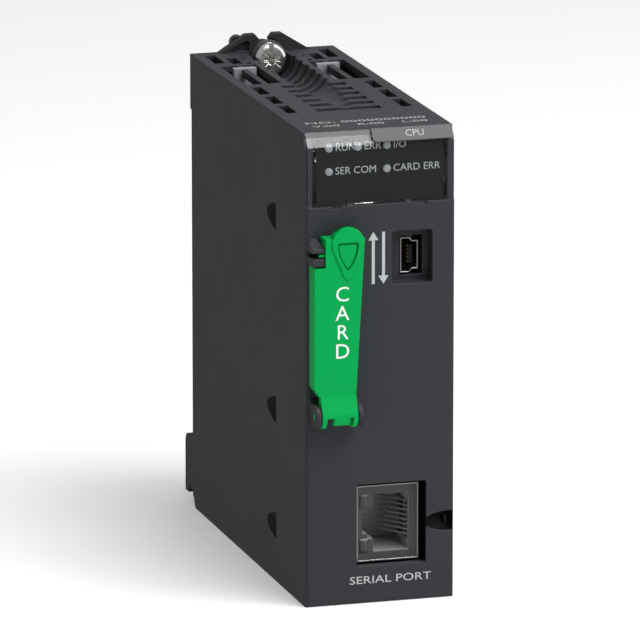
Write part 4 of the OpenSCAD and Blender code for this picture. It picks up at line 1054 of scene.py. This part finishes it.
class MODULE_OT_screw(ModelOperator, bpy.types.Operator):
    """Model the fixing screw: domed head, slot and cross, threaded shank, washer and clip"""
    bl_idname = "module.screw"
    bl_label = "Fixing screw"

    def execute(self, context):
        joint = JOINTS["screw_turn"]
        along = Vector(joint["axis"]).normalized()
        down = Vector(joint["pos_m"])
        part = frame["nodes"]["screw"].data
        reach = [(corner.co - down).dot(along) for corner in part.vertices]
        front = down + along * min(reach)
        length = max(reach) - min(reach)
        turn = Vector((0, 0, 1)).rotation_difference(along).to_matrix().to_4x4()
        stand = Matrix.Translation(front) @ turn
        head = self.head()
        stem = self.stem(length)
        screw = join("fixing_screw", head, stem)
        shade(screw, 45)
        screw.data.transform(stand)
        put_on(screw, FINISHES["screw_steel"], "fixing_screw", "screw_steel", "screw")
        softened("screw_washer", "dished_washer", 0.12 * MM, FINISHES["dark_steel"], 3)
        softened("screw_clip", "retaining_clip", 0.06 * MM, FINISHES["dark_steel"])
        return {"FINISHED"}

    def local_rod(self, name, radius, z0, z1, sides=64):
        deselect()
        bpy.ops.mesh.primitive_cylinder_add(vertices=sides, radius=radius * MM, depth=(z1 - z0) * MM,
                                            location=(0, 0, (z0 + z1) / 2 * MM))
        return added(name)

    def local_block(self, name, x, y, z0, z1, turn=0):
        deselect()
        bpy.ops.mesh.primitive_cube_add(size=1, location=(0, 0, (z0 + z1) / 2 * MM),
                                        scale=(x * MM, y * MM, (z1 - z0) * MM),
                                        rotation=(0, 0, math.radians(turn)))
        return added(name)

    def head(self):
        """A pan head, from z = 0 at its crown: a rod with a domed rim, slot, cross and tick marks."""
        height = 2.6
        head = self.local_rod("head", sizes().head_radius / MM, 0, height)
        round_edges(head, sizes().head_dome, 6, 50, lambda a, b: max(a.z, b.z) < 0.01 * MM)
        round_edges(head, 0.12 * MM, 2, 50, lambda a, b: min(a.z, b.z) > (height - 0.1) * MM)
        slot_width = 1.15
        cross_depth = 2.1
        cut_away(head, self.local_block("slot", 8.0, slot_width, -1, 1.7, 90))
        for quarter in (0, 90):
            cross = self.local_block("cross", 4.3, slot_width, -1, cross_depth, quarter)
            edit(cross)
            pick_faces(cross, lambda centre, normal: normal.z > 0.9)
            bpy.ops.transform.resize(value=(0.55, 0.6, 1), center_override=(0, 0, cross_depth * MM))
            leave()
            cut_away(head, cross)
        for quarter in (45, 135):
            cut_away(head, self.local_block("tick", 5.4, 0.16, -1, 0.16, quarter))
        round_edges(head, 0.07 * MM, 2, 55, lambda a, b: max(a.z, b.z) < 0.9 * MM)
        return head

    def stem(self, length):
        """The shank, its clip groove and a true helical thread."""
        groove0, groove1 = 8.45, 9.05
        end = length / MM
        outer = sizes().shank_radius / MM
        root = outer - sizes().thread_depth / MM
        shank = self.local_rod("shank", outer, 2.5, groove0)
        neck = self.local_rod("neck", outer - 0.4, groove0 - 0.1, groove1 + 0.1)
        core = self.local_rod("core", root, groove1, end)
        round_edges(core, 0.4 * MM, 3, 50, lambda a, b: min(a.z, b.z) > (end - 0.05) * MM)
        round_edges(shank, 0.08 * MM, 2, 50)
        pitch = sizes().thread_pitch
        start = Vector(((root + 0.02) * MM, 0, (groove1 + 0.25) * MM))
        deselect()
        bpy.ops.mesh.primitive_circle_add(vertices=3, radius=0.3 * MM, fill_type="NGON", location=start,
                                          rotation=(math.radians(90), 0, 0))
        ridge = added("ridge")
        edit(ridge, "VERT")
        bpy.ops.mesh.select_all(action="SELECT")
        bpy.ops.transform.rotate(value=math.radians(90), orient_axis="Y", center_override=start)
        bpy.ops.transform.resize(value=(0.8, 1, 1), center_override=(root * MM, 0, 0))
        bpy.ops.mesh.delete(type="ONLY_FACE")
        leave()
        turns = int(((end - 0.6) * MM - start.z) / pitch)
        run_modifier(ridge, "SCREW", angle=math.radians(360), screw_offset=pitch, iterations=turns, steps=40,
                     render_steps=40, axis="Z", use_merge_vertices=False)
        edit(ridge, "EDGE")
        bpy.ops.mesh.select_non_manifold()
        bpy.ops.mesh.edge_face_add()
        bpy.ops.mesh.select_all(action="SELECT")
        bpy.ops.mesh.normals_make_consistent(inside=False)
        leave()
        return join("stem", shank, neck, core, ridge)


class MODULE_OT_prints(ModelOperator, bpy.types.Operator):
    """Print the two rows of numbers on the top of the housing"""
    bl_idname = "module.prints"
    bl_label = "Top print"

    def execute(self, context):
        top = span("housing")[1].z + LIFT
        for name, text, y, width in (("top_row_rear", words().top_rear, 10.75, 25.6),
                                     ("top_row_front", words().top_front, 7.3, 24.6)):
            lettering(name, text, 1.7, (-0.1, y, top), FACING_UP, FINISHES["faint_print"], "module",
                      "housing_plastic", "CENTER", width)
        return {"FINISHED"}


class MODULE_OT_stage(ModelOperator, bpy.types.Operator):
    """Set the pale floor, the studio light and the camera"""
    bl_idname = "module.stage"
    bl_label = "Stage"

    def execute(self, context):
        self.floor()
        self.lights()
        self.camera()
        return {"FINISHED"}

    def floor(self):
        deselect()
        bpy.ops.mesh.primitive_plane_add(size=8, location=(0, 0, CAD_BOX[0][2]))
        floor = bpy.context.object
        floor.name = "pale_floor"
        edit(floor, "EDGE")
        pick_edges(floor, lambda a, b, turn: min(a.y, b.y) > 3.9)
        bpy.ops.mesh.extrude_region_move(TRANSFORM_OT_translate={"value": (0, 0, 5)})
        leave()
        round_edges(floor, 1.8, 12, 30)
        apply_place(floor)
        activate(floor)
        bpy.ops.object.shade_smooth()
        material, tree, surface = start_material("Pale floor")
        slow = effect(tree, "Surface Drift", scale=3.0, contrast=0.3)
        tree.links.new(mixed(tree, slow.outputs["Value"], (0.9, 0.9, 0.9), (0.92, 0.92, 0.92)),
                       surface.inputs["Base Color"])
        surface.inputs["Roughness"].default_value = 0.75
        surface.inputs["Emission Color"].default_value = (1.0, 1.0, 1.0, 1.0)
        surface.inputs["Emission Strength"].default_value = 0.22
        surface.inputs["Specular IOR Level"].default_value = 0.2
        floor.data.materials.append(material)
        floor.visible_glossy = False
        floor.visible_transmission = False

    def lights(self):
        world = bpy.data.worlds.new("Studio")
        world.use_nodes = True
        ground = world.node_tree.nodes["Background"]
        ground.inputs["Color"].default_value = (1.0, 1.0, 1.0, 1.0)
        ground.inputs["Strength"].default_value = 0.3
        bpy.context.scene.world = world
        middle = Vector((0, 0, 0.055))
        for name, direction, distance, side, power in (
                ("top_softbox", (0.276, -0.422, 0.863), 1.0, 0.75, 10.6),
                ("right_softbox", (0.8, -0.7, 0.35), 1.3, 0.6, 3.5),
                ("back_softbox", (0.1, 0.75, 0.9), 1.6, 1.2, 1.0)):
            lamp = bpy.data.lights.new(name, "AREA")
            lamp.shape = "SQUARE"
            lamp.size = side
            lamp.energy = power
            holder = bpy.data.objects.new(name, lamp)
            bpy.context.collection.objects.link(holder)
            away = Vector(direction).normalized()
            holder.location = middle + away * distance
            holder.rotation_euler = away.to_track_quat("Z", "Y").to_euler()

    def camera(self):
        lens = bpy.data.cameras.new("Studio view")
        lens.sensor_width = 36
        lens.lens = 436
        lens.clip_start = 0.05
        lens.clip_end = 30
        holder = bpy.data.objects.new("Studio view", lens)
        bpy.context.collection.objects.link(holder)
        spot = at(-452.5, -1483.45, 428.1)
        target = at(-1.141, 40.0, 51.196)
        holder.location = spot
        holder.rotation_euler = (spot - target).to_track_quat("Z", "Y").to_euler()
        bpy.context.scene.camera = holder
        bpy.context.scene.view_settings.view_transform = "Standard"


STEPS = (
    MODULE_OT_finishes, MODULE_OT_housing, MODULE_OT_rear, MODULE_OT_door, MODULE_OT_window,
    MODULE_OT_label, MODULE_OT_jack, MODULE_OT_port, MODULE_OT_card, MODULE_OT_inside, MODULE_OT_screw,
    MODULE_OT_prints, MODULE_OT_stage,
)


class MODULE_PT_panel(bpy.types.Panel):
    """The module's steps, sizes, colours and words"""
    bl_idname = "MODULE_PT_panel"
    bl_label = "Controller Module"
    bl_space_type = "VIEW_3D"
    bl_region_type = "UI"
    bl_category = "Module"

    def draw(self, context):
        layout = self.layout
        column = layout.column(align=True)
        for step in STEPS:
            column.operator(step.bl_idname)
        for title, group in (("Sizes", context.scene.module_sizes), ("Colours", context.scene.module_colours),
                             ("Words", context.scene.module_words)):
            box = layout.box()
            box.label(text=title)
            for name in group.__annotations__:
                box.prop(group, name)


CLASSES = (MODULE_PG_sizes, MODULE_PG_colours, MODULE_PG_words, *STEPS, MODULE_PT_panel)


def register():
    for cls in CLASSES:
        bpy.utils.register_class(cls)
    bpy.types.Scene.module_sizes = PointerProperty(type=MODULE_PG_sizes)
    bpy.types.Scene.module_colours = PointerProperty(type=MODULE_PG_colours)
    bpy.types.Scene.module_words = PointerProperty(type=MODULE_PG_words)


def unregister():
    del bpy.types.Scene.module_words
    del bpy.types.Scene.module_colours
    del bpy.types.Scene.module_sizes
    for cls in reversed(CLASSES):
        bpy.utils.unregister_class(cls)


def main():
    register()
    bpy.ops.module.finishes()
    bpy.ops.module.housing()
    bpy.ops.module.rear()
    bpy.ops.module.door()
    bpy.ops.module.window()
    bpy.ops.module.label()
    bpy.ops.module.jack()
    bpy.ops.module.port()
    bpy.ops.module.card()
    bpy.ops.module.inside()
    bpy.ops.module.screw()
    bpy.ops.module.prints()
    bpy.ops.module.stage()


if __name__ == "__main__":
    main()
